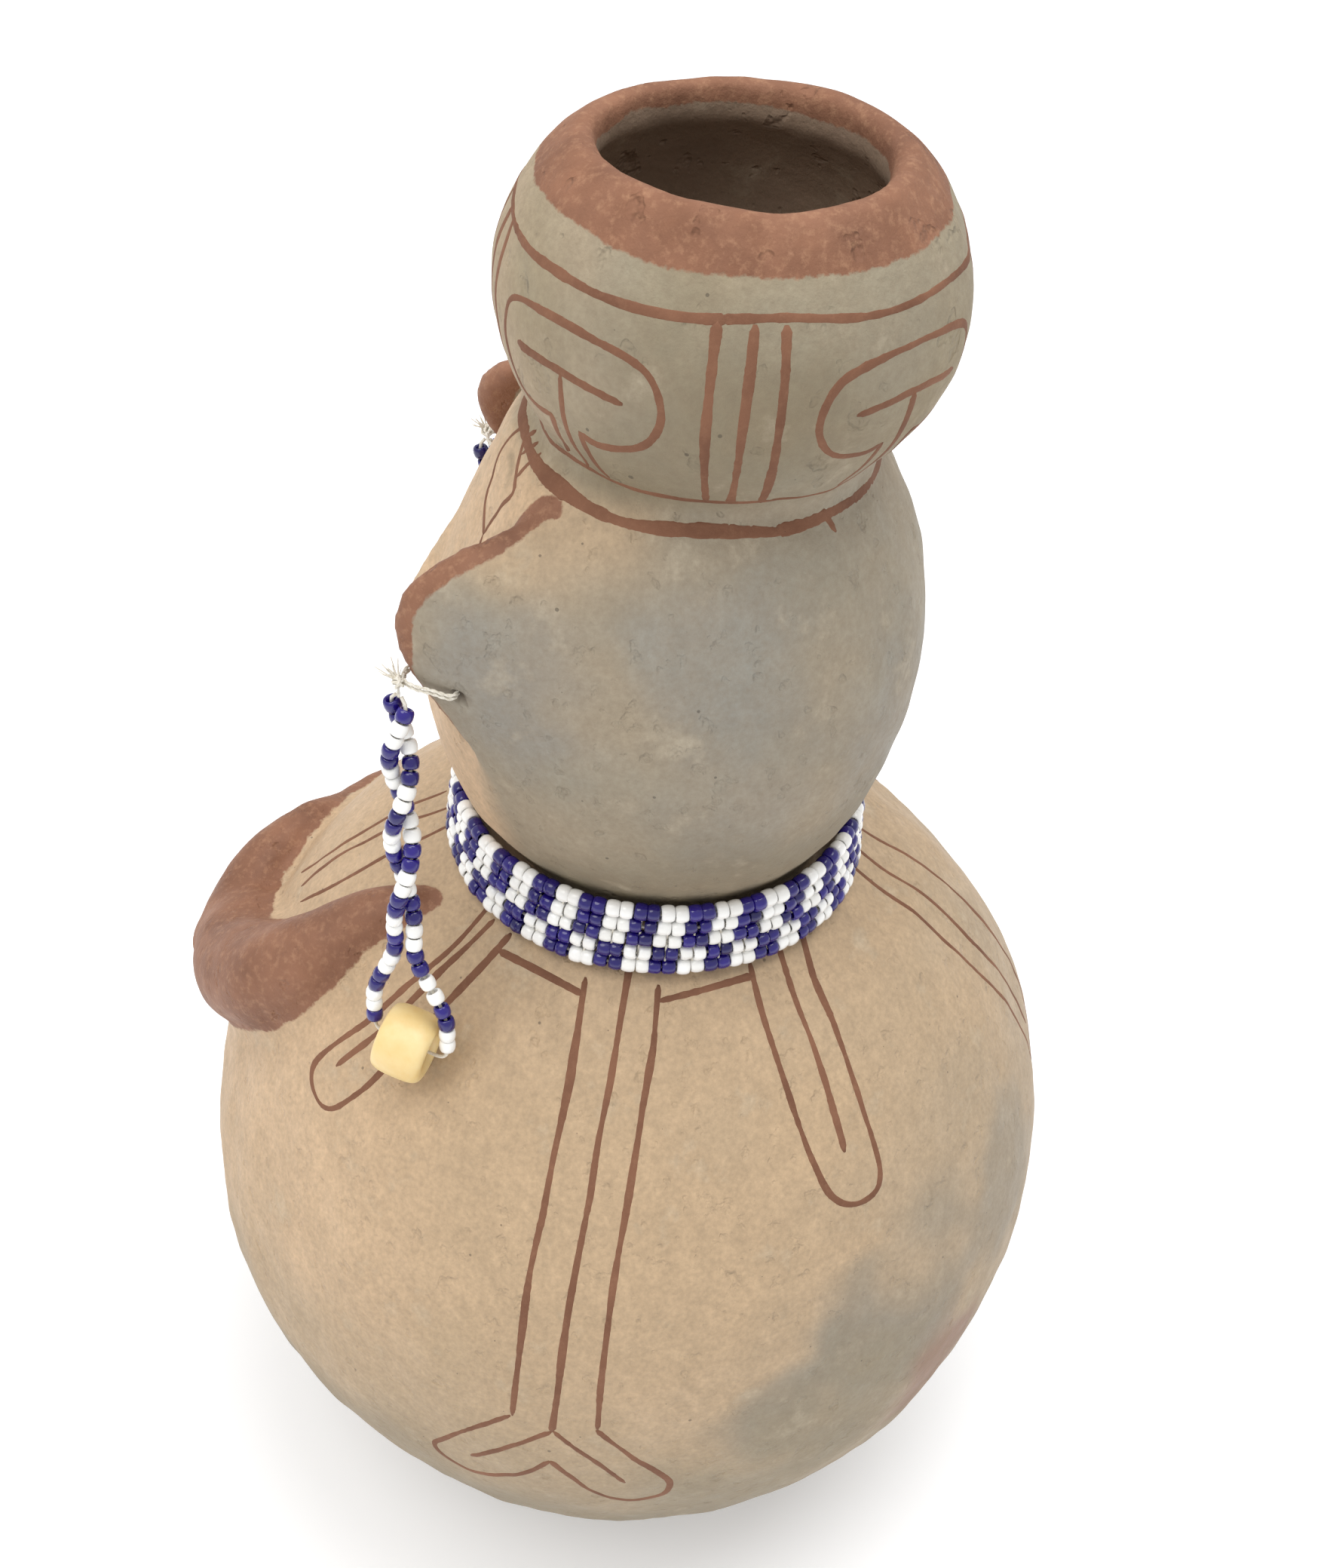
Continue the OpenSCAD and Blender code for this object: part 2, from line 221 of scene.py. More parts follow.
def sweep(path, radii, sides, closed=False):
    """A round tube along path; open ends are closed with a fan."""
    path = np.array(path, float)
    n = len(path)
    radii = np.broadcast_to(radii, n)
    points, faces = [], []
    normal = None
    for i in range(n):
        a = path[(i - 1) % n] if closed else path[max(0, i - 1)]
        b = path[(i + 1) % n] if closed else path[min(n - 1, i + 1)]
        d = unit(b - a)
        if normal is None:
            seed = np.array([0, 0, 1.0]) if abs(d[2]) < 0.9 else np.array([0, 1.0, 0])
            normal = unit(np.cross(seed, d))
        normal = unit(normal - d * np.dot(normal, d))
        side = np.cross(d, normal)
        for k in range(sides):
            t = 2 * math.pi * k / sides
            points.append(path[i] + radii[i] * (math.cos(t) * normal + math.sin(t) * side))
    for i in range(n if closed else n - 1):
        for k in range(sides):
            a, b = i * sides, ((i + 1) % n) * sides
            k1 = (k + 1) % sides
            faces.append((a + k, a + k1, b + k1, b + k))
    if not closed:
        faces.append(tuple(range(sides - 1, -1, -1)))
        faces.append(tuple(range((n - 1) * sides, n * sides)))
    return points, faces


def joined(parts):
    points, faces = [], []
    for p, f in parts:
        base = len(points)
        points.extend(p)
        faces.extend(tuple(base + i for i in face) for face in f)
    return points, faces


class Waves:
    """A smooth seeded field of lumps: a sum of waves of about one length."""

    def __init__(self, length, count, seed):
        draw = np.random.default_rng(seed)
        k = draw.normal(size=(count, 3))
        k /= np.linalg.norm(k, axis=1)[:, None]
        self.k = k * (2 * math.pi / length) * draw.uniform(0.6, 1.5, size=(count, 1))
        self.phase = draw.uniform(0, 2 * math.pi, count)
        self.scale = math.sqrt(2 / count)

    def __call__(self, p):
        return np.sin(p @ self.k.T + self.phase).sum(axis=1) * self.scale


def smoothstep(x, low, high):
    t = np.clip((x - low) / (high - low), 0, 1)
    return t * t * (3 - 2 * t)


def between(x, low, high):
    return (x > low) & (x < high)


# ------------------------------------------------------------------ clay form
def bezier(a, b, c, steps):
    t = np.linspace(0, 1, steps + 1)[1:, None]
    a, b, c = np.array(a), np.array(b), np.array(c)
    return [tuple(p) for p in a * (1 - t) ** 2 + 2 * b * t * (1 - t) + c * t**2]


def degrees_at(r, shape):
    return math.degrees(math.acos(r / shape.r))


def body_and_head_outline():
    foot = -math.degrees(math.asin(BODY.z / BODY.h))
    foot_r = BODY.r * math.cos(math.radians(foot))
    shoulder_r = 34 * MM
    shoulder = (shoulder_r, BODY.height(shoulder_r))
    head_low_z = NECK_Z + 6 * MM
    head_low = (float(HEAD.radius(head_low_z)), head_low_z)
    head_low_a = math.degrees(math.asin((head_low_z - HEAD.z) / HEAD.h))
    crown_r = 17.5 * MM
    floor = BODY_LOW[2] + WALL
    line = [(0, 0), (foot_r - 1.5 * MM, 0)]
    line += BODY.arc(foot + 1.5, degrees_at(shoulder_r, BODY), 60)
    line += bezier(shoulder, (NECK_R, NECK_Z - 1.1 * MM), (NECK_R, NECK_Z), 8)
    line += bezier((NECK_R, NECK_Z), (NECK_R, head_low_z - 2.9 * MM), head_low, 5)
    line += HEAD.arc(head_low_a, degrees_at(crown_r, HEAD), 44)[1:]
    line += [(14 * MM, NECK_Z + 63 * MM), (THROAT_R, NECK_Z + 61.8 * MM)]
    line += HEAD_IN.arc(degrees_at(THROAT_R, HEAD_IN), -degrees_at(PASSAGE_R, HEAD_IN), 30)
    low_a = math.degrees(math.asin((floor - BODY_IN.z) / BODY_IN.h))
    line += BODY_IN.arc(degrees_at(PASSAGE_R, BODY_IN), low_a, 40)
    return line + [(0, floor)]


def cup_outline():
    foot_r = 18.6 * MM
    rim_r = MOUTH_R + 2.5 * MM
    lip = CUP_HIGH[2]
    line = [(foot_r - 0.5 * MM, NECK_Z + 56 * MM)]
    line += CUP.arc(-degrees_at(foot_r, CUP), degrees_at(rim_r, CUP), 40)
    line += [(MOUTH_R + 1.5 * MM, lip), (MOUTH_R + 0.5 * MM, lip - 0.3 * MM), (MOUTH_R, lip - 1.3 * MM)]
    line += CUP_IN.arc(degrees_at(MOUTH_R, CUP_IN), -degrees_at(12.5 * MM, CUP_IN), 30)
    return line + [(12.5 * MM, NECK_Z + 60 * MM)]


# A reach for points that are nowhere near a slip-covered patch
OUTSIDE = -10 * MM

# Stations down each arm: degrees from the front, radius, height, thickness, in millimetres
ARM = {1: [(30.5, 31.8, 114.6, 1.2), (29, 33.2, 113.6, 2.4), (25.5, 39, 109.4, 4.6), (23.5, 45.6, 103.2, 6.3),
           (20, 50.3, 97.6, 7.6), (14.5, 53.9, 92.2, 7.9), (8, 56.3, 87.4, 7.9), (-2, 57.6, 84, 7.8)],
       -1: [(50, 52, 93.5, 0.8), (45, 55, 89.5, 1.8), (38, 56.6, 86.8, 2.4), (31, 56.4, 87.4, 2.5),
            (25, 55.6, 89.6, 2.6),
            (19.5, 56.2, 90.9, 3.5), (15, 57.8, 89.7, 4.4), (10, 59.2, 87.2, 5.4), (5, 59.5, 84.9, 6.4),
            (-2, 57.9, 83.2, 7.6)]}
HAND_OVER = 7
EAR_HOLE = (-21.1 * MM, 159.1 * MM)
HAND_OUT = {1: 0, -1: 0.9 * MM}


def arm_line(side):
    """The middle of one arm, with its thickness as a fourth number."""
    stations = [(r * math.sin(math.radians(a)), -r * math.cos(math.radians(a)), z, q)
                for a, r, z, q in ARM[side]]
    line = spline(stations, 6) * MM
    line[-HAND_OVER:, 1] -= HAND_OUT[side] * np.linspace(0, 1, HAND_OVER)
    line[:, 0] *= side
    tip = line[-1] + np.array([-side * 3.2 * MM, 0, 0.3 * MM, 0])
    tip[3] = line[-1][3] * 0.55
    return np.vstack([line, tip])


def arm_tube(side):
    line = arm_line(side)
    return sweep(line[:, :3], line[:, 3], 20)


EAR_Z = (140 * MM, 177.6 * MM)
EAR_REACH = 10 * MM
EAR_ROOT = 37.5
EAR_SWEEP = 10.7


def ear_ring(t):
    """The ear's outline in the level plane a fraction t of the way up, as (points, rim point)."""
    z = EAR_Z[0] + (EAR_Z[1] - EAR_Z[0]) * t
    s = max(0.02, math.sin(math.pi * t**2.11))
    rh = float(HEAD.radius(z))
    rr = rh + EAR_REACH * s
    a = math.radians(-EAR_ROOT - EAR_SWEEP * s)
    back_a = a + math.acos(rh / rr)
    back = rh * np.array([math.cos(back_a), math.sin(back_a)])
    rim = rr * np.array([math.cos(a), math.sin(a)])
    run = np.linalg.norm(back - rim)
    u = (back - rim) / run
    n = -np.array([math.cos(back_a), math.sin(back_a)])
    th = (1 + 2.4 * s) * MM
    inside = rh - 3 * MM
    front_a = a - math.radians(4)
    outline = [back, rim + u * run * 0.5 - n * 0.5 * MM * s, rim, rim + n * th * 0.5 - u * 0.8 * MM * s,
               rim + n * th,
               rim + n * th * 1.15 + u * run * 0.35,
               inside * np.array([math.cos(front_a), math.sin(front_a)]),
               inside * np.array([math.cos(back_a), math.sin(back_a)])]
    return [np.array([q[0], q[1], z]) for q in outline], np.array([rim[0], rim[1], z])


def ear_solid(side):
    levels = 30
    rings = [spline(ear_ring(i / levels)[0], 3, closed=True) for i in range(levels + 1)]
    sides = len(rings[0])
    points = [p * np.array([side, 1, 1]) for ring in rings for p in ring]
    faces = [(i * sides + k, i * sides + (k + 1) % sides, (i + 1) * sides + (k + 1) % sides,
              (i + 1) * sides + k)
             for i in range(levels) for k in range(sides)]
    faces.append(tuple(range(sides - 1, -1, -1)))
    faces.append(tuple(range(levels * sides, (levels + 1) * sides)))
    return points, faces


def ball(centre, radii, steps=16):
    """An ellipsoid blob of clay."""
    line = [(math.cos(a), math.sin(a)) for a in np.linspace(-math.pi / 2, math.pi / 2, steps + 1)]
    line[0], line[-1] = (0, -1), (0, 1)
    points, faces = revolve(line, 2 * steps)
    return [np.array(centre) + np.array(p) * np.array(radii) for p in points], faces


def front(z, out=0.0, x=0.0):
    return np.array([x, -math.sqrt(float(HEAD.radius(z)) ** 2 - x * x) - out, z])


def face_blobs():
    """A calm, simple face: a straight nose, closed lips and a small chin."""
    mid = HEAD.z
    nose_path = [front(mid + 13 * MM, -1.7 * MM), front(mid + 6 * MM, -0.7 * MM),
                 front(mid - 2 * MM, 0.8 * MM)]
    nose = sweep(spline(nose_path, 6), np.linspace(1.9, 3.0, 13) * MM, 16)
    tip = ball(front(mid - 2.8 * MM, 0.4 * MM), np.array([3.2, 3.0, 2.7]) * MM)
    wings = [ball(front(mid - 3.8 * MM, -0.2 * MM, x), np.array([1.9, 2.0, 1.8]) * MM)
             for x in (-3 * MM, 3 * MM)]
    lips = []
    for lift, half, thick in ((1.0, 5.4, 1.15), (-1.1, 4.6, 1.35)):
        path = [front(mid - (14.2 - lift + abs(x) * 0.03) * MM, 0.25 * MM, x * MM)
                for x in np.linspace(-half, half, 9)]
        lips.append(sweep(path, np.array([0.3, 0.75, 1, 1.05, 1.0, 1.05, 1, 0.75, 0.3]) * thick * MM, 12))
    chin = ball(front(mid - 21 * MM, -3.2 * MM), np.array([6, 4, 4]) * MM)
    return joined([nose, tip] + wings), joined(lips), chin


def remeshed(name, parts, voxel):
    source = make_piece(name, *joined(parts))
    bpy.context.view_layer.objects.active = source
    mod = source.modifiers.new("remesh", "REMESH")
    mod.mode = "VOXEL"
    mod.voxel_size = voxel
    graph = bpy.context.evaluated_depsgraph_get()
    mesh = bpy.data.meshes.new_from_object(source.evaluated_get(graph))
    bpy.data.objects.remove(source)
    return mesh


def smooth_points(co, edges, weight, rounds):
    count = np.bincount(edges.ravel(), minlength=len(co)).astype(float)
    for _ in range(rounds):
        total = np.zeros_like(co)
        for axis in range(3):
            total[:, axis] = (np.bincount(edges[:, 0], co[edges[:, 1], axis], len(co))
                              + np.bincount(edges[:, 1], co[edges[:, 0], axis], len(co)))
        co = co + weight[:, None] * (total / count[:, None] - co)
    return co


def distance_to(solid, co, near, limit):
    """Distance from the points flagged in near to a solid's surface, and limit elsewhere."""
    tree = BVHTree.FromPolygons([Vector(p) for p in solid[0]], solid[1])
    out = np.full(len(co), limit)
    for i in np.nonzero(near)[0]:
        hit = tree.find_nearest(Vector(co[i]), limit)
        if hit[0] is not None:
            out[i] = hit[3]
    return out


VOXEL = 0.75 * MM
nose_solid, lips_solid, chin_solid = face_blobs()
EARS = {side: ear_solid(side) for side in (1, -1)}
ARMS = {side: arm_tube(side) for side in (1, -1)}
clay = remeshed("clay", [revolve(body_and_head_outline(), 192), revolve(cup_outline(), 144, CUP.y), EARS[1],
                         EARS[-1],
                         ARMS[1], ARMS[-1], nose_solid, lips_solid, chin_solid], VOXEL)
co = coords(clay)
edges = np.zeros(len(clay.edges) * 2, np.int64)
clay.edges.foreach_get("vertices", edges)
edges = edges.reshape(-1, 2)


def blend_weight(p):
    """Near 1 where one clay form meets another, so that smoothing draws a fillet there."""
    weight = np.zeros(len(p))
    radius = np.hypot(p[:, 0], p[:, 1])
    ear_zone = between(p[:, 2], EAR_Z[0] - 8 * MM, EAR_Z[1] + 6 * MM) & (
        radius > HEAD_IN.radius(p[:, 2]) + 1 * MM)
    for side in (1, -1):
        near = distance_to(EARS[side], p, ear_zone & (p[:, 0] * side > 0), 6 * MM)
        seam = np.maximum(near, np.abs(HEAD.off(p)))
        weight = np.maximum(weight, 0.3 * (1 - smoothstep(seam, 0.8 * MM, 2.6 * MM)))
        arm_zone = (p[:, 1] < 0) & (BODY.off(p) > -1 * MM) & (p[:, 2] > 60 * MM) & (p[:, 2] < 119 * MM)
        near = distance_to(ARMS[side], p, arm_zone, 6 * MM)
        seam = np.maximum(near, np.abs(BODY.off(p)))
        weight = np.maximum(weight, 0.9 * (1 - smoothstep(seam, 0.6 * MM, 2.2 * MM)))
    seam = np.maximum(np.abs(CUP.off(p)), np.abs(HEAD.off(p)))
    cup_seam = (1 - smoothstep(seam, 1.0 * MM, 3.0 * MM)) * (radius > 13 * MM)
    weight = np.maximum(weight, np.where(p[:, 2] < NECK_Z + 70 * MM, cup_seam, 0))
    face = (p[:, 1] < -20 * MM) & (np.abs(p[:, 0]) < 12 * MM) & between(
        p[:, 2], NECK_Z + 2 * MM, NECK_Z + 52 * MM)
    return np.maximum(weight, 0.08 * face)


weight = blend_weight(co)
co = smooth_points(co, edges, np.full(len(co), 0.5), 4)
co = smooth_points(co, edges, weight * 0.7, 22)
co = smooth_points(co, edges, np.full(len(co), 0.4), 2)

def side_turn(p):
    """Degrees about Z from the figure's own left or right, whichever is nearer; -90 is its front."""
    return np.degrees(np.arctan2(p[:, 1], np.abs(p[:, 0])))


def rim_turn(z):
    t = np.clip((z - EAR_Z[0]) / (EAR_Z[1] - EAR_Z[0]), 0, 1)
    return -EAR_ROOT - EAR_SWEEP * np.sin(np.pi * t**2.11)


def flattened_forehead(p):
    """The forehead slopes back a little more than the round of the head does."""
    most = 2.3 * MM * smoothstep(-side_turn(p), 38, 72) * (HEAD.off(p) > -1.5 * MM)
    most = most * smoothstep(p[:, 2], 146 * MM, 168 * MM) * (1 - smoothstep(p[:, 2], 170 * MM, 183 * MM))
    level = np.maximum(np.hypot(p[:, 0], p[:, 1]), 1 * MM)
    return p * np.column_stack([1 - most / level, 1 - most / level, np.ones(len(p))])


head_off = HEAD.off(co)
body_off = BODY.off(co)
radius = np.hypot(co[:, 0], co[:, 1])
turn = side_turn(co)
cup_seam_z = NECK_Z + (60.4 * MM) - 0.1 * (co[:, 1] - CUP.y)
is_cup = co[:, 2] > cup_seam_z
on_head = (co[:, 2] > NECK_Z) & ~is_cup
outer_head = on_head & (head_off > 0.7 * MM)
is_ear = outer_head & (co[:, 2] > EAR_Z[0] - 4 * MM) & (np.abs(co[:, 0]) > 14 * MM) & (turn < 5)
is_arm = (body_off > 0.45 * MM) & (co[:, 1] < 0) & (np.abs(co[:, 0]) < 34 * MM) & (co[:, 2] > 55 * MM) & (
    co[:, 2] < 112.5 * MM) & (turn < -48)
is_nose = outer_head & (co[:, 1] < 0) & (np.abs(co[:, 0]) < 7 * MM) & (co[:, 2] > HEAD.z - 8 * MM)
is_lips = outer_head & (co[:, 1] < 0) & (np.abs(co[:, 0]) < 8 * MM) & (co[:, 2] > HEAD.z - 17.5 * MM) & (
    co[:, 2] < HEAD.z - 11 * MM)
ragged = Waves(9 * MM, 10, 3)(co) * 0.12 + Waves(3 * MM, 10, 4)(co) * 0.05
before_rim = np.radians(rim_turn(co[:, 2]) - turn) * radius


def ear_stripe_reach(p, side):
    """How far inside the painted stripe along an ear's ridge points are, in metres; below 0 is outside."""
    ridge = []
    for t in np.linspace(0.53, 1, 14):
        ring, rim = ear_ring(t)
        ridge.append(rim * 0.6 + ring[4] * 0.4)
    ridge.append(HEAD.point(-EAR_ROOT + 3, EAR_Z[1] + 0.2 * MM))
    line = spline(ridge, 4) * np.array([side, 1, 1])
    share = np.linspace(0, 1, len(line))
    half = (0.7 + 1.5 * np.clip(np.minimum(share / 0.25, (1 - share) / 0.22), 0, 1) ** 0.6) * MM
    near = np.full(len(p), OUTSIDE)
    zone = np.nonzero((p[:, 2] > 150 * MM) & (p[:, 2] < 186 * MM) & (p[:, 0] * side > 8 * MM)
                      & (p[:, 1] < 0))[0]
    near[zone] = np.max(half[None, :] - np.linalg.norm(p[zone, None, :] - line[None, :, :], axis=2), axis=1)
    return near


def arm_reach(side):
    """How far inside an arm's slip points are along the body; the slip runs just past the arm."""
    reach = np.full(len(co), OUTSIDE)
    zone = np.nonzero((body_off > -0.3 * MM) & (co[:, 1] < -10 * MM) & (co[:, 2] > 60 * MM)
                      & (co[:, 2] < 119 * MM))[0]
    line = arm_line(side)
    out = BODY.off(line)
    for i in range(len(line) - 1):
        way = line[i + 1, :3] - line[i, :3]
        share = np.clip((co[zone] - line[i, :3]) @ way / (way @ way), 0, 1)
        away = np.linalg.norm(co[zone] - line[i, :3] - share[:, None] * way, axis=1)
        up = body_off[zone] - out[i] - share * (out[i + 1] - out[i])
        beside = np.sqrt(np.maximum(away**2 - up**2, 0))
        thick = line[i, 3] + share * (line[i + 1, 3] - line[i, 3])
        reach[zone] = np.maximum(reach[zone], np.where(away < thick + 3 * MM, thick + 0.3 * MM - beside,
                                                       OUTSIDE))
    return reach


def slip_reach():
    """How far inside a slip-covered patch each point is, in metres; below 0 is bare clay."""
    rho = np.hypot(co[:, 0], co[:, 1] - CUP.y)
    lip = CUP_HIGH[2]
    arm = np.maximum(arm_reach(1), arm_reach(-1))
    hollow = np.minimum.reduce([before_rim + 0.3 * MM, 6.5 * MM - before_rim, head_off - 0.9 * MM,
                                co[:, 2] - 151 * MM, 175.5 * MM - co[:, 2]])
    hollow = np.where(on_head & (np.abs(co[:, 0]) > 12 * MM), hollow, OUTSIDE)
    band = np.minimum(co[:, 2] - (lip - 4.3 * MM), np.maximum(rho - (MOUTH_R + 0.9 * MM),
                                                              co[:, 2] - (lip - 2.6 * MM)))
    band = np.where(is_cup, band, OUTSIDE)
    stripes = [ear_stripe_reach(co, side) for side in (1, -1)]
    from_lips = np.abs(co[:, 2] - (HEAD.z - 14.2 * MM))
    mouth = 1.5 * MM * np.sqrt(np.maximum(1 - (co[:, 0] / (6.4 * MM)) ** 2, 0)) - from_lips
    mouth = np.where(on_head & (co[:, 1] < 0) & (np.abs(co[:, 0]) < 8 * MM) & (head_off > -0.8 * MM), mouth,
                     OUTSIDE)
    return np.maximum.reduce([arm, hollow, band, mouth] + stripes)


# The thread's hole goes through each ear along X
hole_off = np.where(is_ear, np.hypot(co[:, 1] - EAR_HOLE[0], 1.25 * (co[:, 2] - EAR_HOLE[1])), 10 * MM)
hole_deep = 1 - smoothstep(hole_off, 0.8 * MM, 1.5 * MM)
slip = np.clip(0.5 + (slip_reach() + ragged * MM) / (2.4 * MM), 0, 1) * (1 - hole_deep)
co = flattened_forehead(co)
co[:, 0] -= np.sign(co[:, 0]) * 0.8 * MM * hole_deep

# Hand-made unevenness, which leaves the foot and the sizes as they are
clay.vertices.foreach_set("co", co.ravel())
clay.update()
normals = np.zeros(len(co) * 3)
clay.vertices.foreach_get("normal", normals)
normals = normals.reshape(-1, 3)
lumps = (Waves(38 * MM, 12, 11)(co) * 0.26 + Waves(13 * MM, 14, 12)(co) * 0.08
         + Waves(5 * MM, 14, 13)(co) * 0.03)
keep_foot = smoothstep(co[:, 2], 1 * MM, 8 * MM)
under_collar = (1 - smoothstep(np.abs(co[:, 2] - 121 * MM), 6 * MM, 10 * MM)) * (radius < 36 * MM)
lumps = lumps * keep_foot * (1 - under_collar) - 0.12 * under_collar
co = co + normals * (lumps * MM)[:, None]
clay.vertices.foreach_set("co", co.ravel())
clay.update()
SKIN = BVHTree.FromPolygons([Vector(p) for p in co], [tuple(p.vertices) for p in clay.polygons])


# ------------------------------------------------------------------ clay colour, one tone for each point
def srgb(r, g, b):
    c = np.array([r, g, b]) / 255
    return np.where(c <= 0.04045, c / 12.92, ((c + 0.055) / 1.055) ** 2.4)


def shade(r, g, b):
    return tuple(srgb(r, g, b))


TAN = srgb(200, 172, 138)
PEACH = srgb(218, 186, 150)
GREY = srgb(152, 146, 130)
OLIVE = srgb(158, 146, 120)
SMOKE = srgb(128, 130, 122)
HAZE = srgb(140, 143, 142)
RED_CLOUD = srgb(148, 112, 92)
PALE = srgb(226, 214, 190)
DARK_OLIVE = srgb(124, 114, 92)
INSIDE = srgb(148, 125, 107)
EYE_STAIN = srgb(112, 106, 84)
# Painted shade for the inside of each ear's thread hole
EAR_HOLE_PAINTED_SHADE = srgb(48, 38, 32)

# Smoke clouds on the body: centre and reach in millimetres, colour, strength
BODY_CLOUDS = [((50, 25, 67), 13, SMOKE, 0.6), ((45, 37, 70), 17, SMOKE, 0.7),
               ((36, 46, 88), 10, SMOKE, 0.42),
               ((50, 34, 62), 16, OLIVE * 0.9, 0.7), ((22, 55, 80), 15, SMOKE, 0.5),
               ((37, 50, 55), 14, RED_CLOUD, 0.95),
               ((54, 22, 44), 20, OLIVE * 0.9, 0.7), ((-40, 42, 60), 26, SMOKE, 0.5),
               ((-52, -22, 44), 24, OLIVE, 0.5), ((-20, -54, 40), 18, OLIVE, 0.35)]
HEAD_CLOUDS = [((24, -14, 162), 13, 0.6), ((26, 6, 166), 12, 0.45), ((28, 12, 148), 13, 0.3),
               ((12, 27, 150), 16, 0.4)]
EYE_LINE = [(-67, 27.3), (-63.5, 27.2), (-60.4, 26.0), (-59.2, 24.6), (-60.6, 22.9)]


def mix(a, b, t):
    return a * (1 - t[:, None]) + b * t[:, None]


def gap_to(p, centre, reach):
    return np.linalg.norm(p - np.array(centre) * MM, axis=1) / (reach * MM)


def body_tone(p, big, mid, small):
    tone = np.tile(TAN, (len(p), 1))
    tone = mix(tone, PEACH, 0.7 * smoothstep(-p[:, 1] / BODY.r + big * 0.25, 0.1, 0.9))
    tone = mix(tone, GREY, 0.3 * smoothstep(p[:, 1] / BODY.r + mid * 0.25, 0.3, 1.0))
    # Darker and more olive towards the bottom: partly the clay's own tone, partly painted shade
    tone = mix(tone, OLIVE * 0.88, 0.95 * (1 - smoothstep(p[:, 2] + mid * 6 * MM, 28 * MM, 84 * MM)))
    for centre, reach, colour, most in BODY_CLOUDS:
        tone = mix(tone, colour, most * (1 - smoothstep(gap_to(p, centre, reach) + mid * 0.28 + small * 0.12,
                                                        0.4, 1.15)))
    # Painted shade: darker still at the foot, near the floor
    tone = mix(tone, OLIVE * 0.8, 0.55 * (1 - smoothstep(p[:, 2] + small * 2 * MM, 0, 22 * MM)))
    # Painted shade: the whole colour grows darker towards the bottom of the body
    return tone * (1 - 0.34 * (1 - smoothstep(p[:, 2] + mid * 5 * MM, 14 * MM, 66 * MM)))[:, None]


def head_tone(p, mid, small):
    """Smoke-grey behind the ears and peach before them, with the ears' ridges as the border."""
    tone = mix(np.tile(GREY, (len(p), 1)), TAN, 0.12 + 0.12 * np.clip(mid, -1, 1))
    for centre, reach, most in HEAD_CLOUDS:
        tone = mix(tone, HAZE, most * (1 - smoothstep(gap_to(p, centre, reach) + mid * 0.2 + small * 0.15,
                                                      0.3, 1.2)))
    tone = mix(tone, DARK_OLIVE, 0.8 * (1 - smoothstep(p[:, 2] + mid * 3 * MM, NECK_Z + 5 * MM,
                                                       NECK_Z + 30 * MM)))
    crown = smoothstep(p[:, 2] + mid * 1.5 * MM, 171 * MM,
                       177 * MM) * (1 - smoothstep(side_turn(p) + mid * 10, -28, 6))
    tone = mix(tone, TAN, 0.8 * crown)
    ahead = np.radians(rim_turn(p[:, 2]) - side_turn(p)) * np.hypot(p[:, 0], p[:, 1])
    by_ear = smoothstep(p[:, 2], 142 * MM, 150 * MM) * (1 - smoothstep(p[:, 2], 173 * MM, 178 * MM))
    soft = (6 - 5.2 * by_ear) * MM
    return mix(tone, PEACH, np.clip(0.5 + (ahead + small * 0.6 * MM) / soft, 0, 1))


def cup_tone(p, mid, small):
    tone = mix(np.tile(OLIVE, (len(p), 1)), GREY, 0.4 + 0.3 * np.clip(mid, -1, 1))
    tone = mix(tone, TAN, 0.45 * smoothstep(-p[:, 1] / CUP.r + mid * 0.2, 0.2, 1.0))
    tone = mix(tone, DARK_OLIVE, 0.6 * (1 - smoothstep(gap_to(p, (20, 4, 190), 19) + mid * 0.2
                                                       + small * 0.15, 0.3, 1.2)))
    return mix(tone, DARK_OLIVE, 0.5 * (1 - smoothstep(gap_to(p, (-16, 22, 190), 18) + mid * 0.2, 0.3, 1.2)))


def clay_tone(p):
    big = Waves(60 * MM, 12, 21)(p) * 0.5
    mid = Waves(22 * MM, 14, 22)(p) * 0.5
    small = Waves(8 * MM, 16, 23)(p) * 0.5
    tone = mix(body_tone(p, big, mid, small), head_tone(p, mid, small),
               smoothstep(p[:, 2], NECK_Z - 1 * MM, NECK_Z + 2 * MM))
    tone = mix(tone, cup_tone(p, mid, small), smoothstep(p[:, 2] - 0.1 * p[:, 1], NECK_Z + 59 * MM,
                                                         NECK_Z + 62 * MM))
    for side in (1, -1):
        eye = spline([HEAD.point(t, HEAD.z + z * MM) * np.array([side, 1, 1]) for t, z in EYE_LINE], 5)
        close = np.nonzero((p[:, 2] > 168 * MM) & (p[:, 2] < 184 * MM) & (p[:, 1] < 0)
                           & (p[:, 0] * side > 0))[0]
        gap = np.min(np.linalg.norm(p[close, None, :] - eye[None, :, :], axis=2), axis=1)
        stain = np.zeros(len(p))
        stain[close] = 0.85 * (1 - smoothstep(gap, 0.35 * MM, 1.3 * MM))
        tone = mix(tone, EYE_STAIN, stain)
    return tone * (1 + 0.05 * Waves(3 * MM, 18, 31)(p) * 0.5)[:, None]


tone = clay_tone(co)
inner = (body_off < -2.4 * MM) & (co[:, 2] < NECK_Z) | (head_off < -2.4 * MM) & on_head
bore = np.hypot(co[:, 0], co[:, 1] - CUP.y) < MOUTH_R + 0.8 * MM
inner |= is_cup & ((CUP_IN.off(co) < 1.4 * MM) | bore) & (co[:, 2] < CUP_HIGH[2] - 1.0 * MM)
tone = np.where(inner[:, None], INSIDE * (1 + 0.12 * Waves(10 * MM, 10, 41)(co) * 0.5)[:, None], tone)
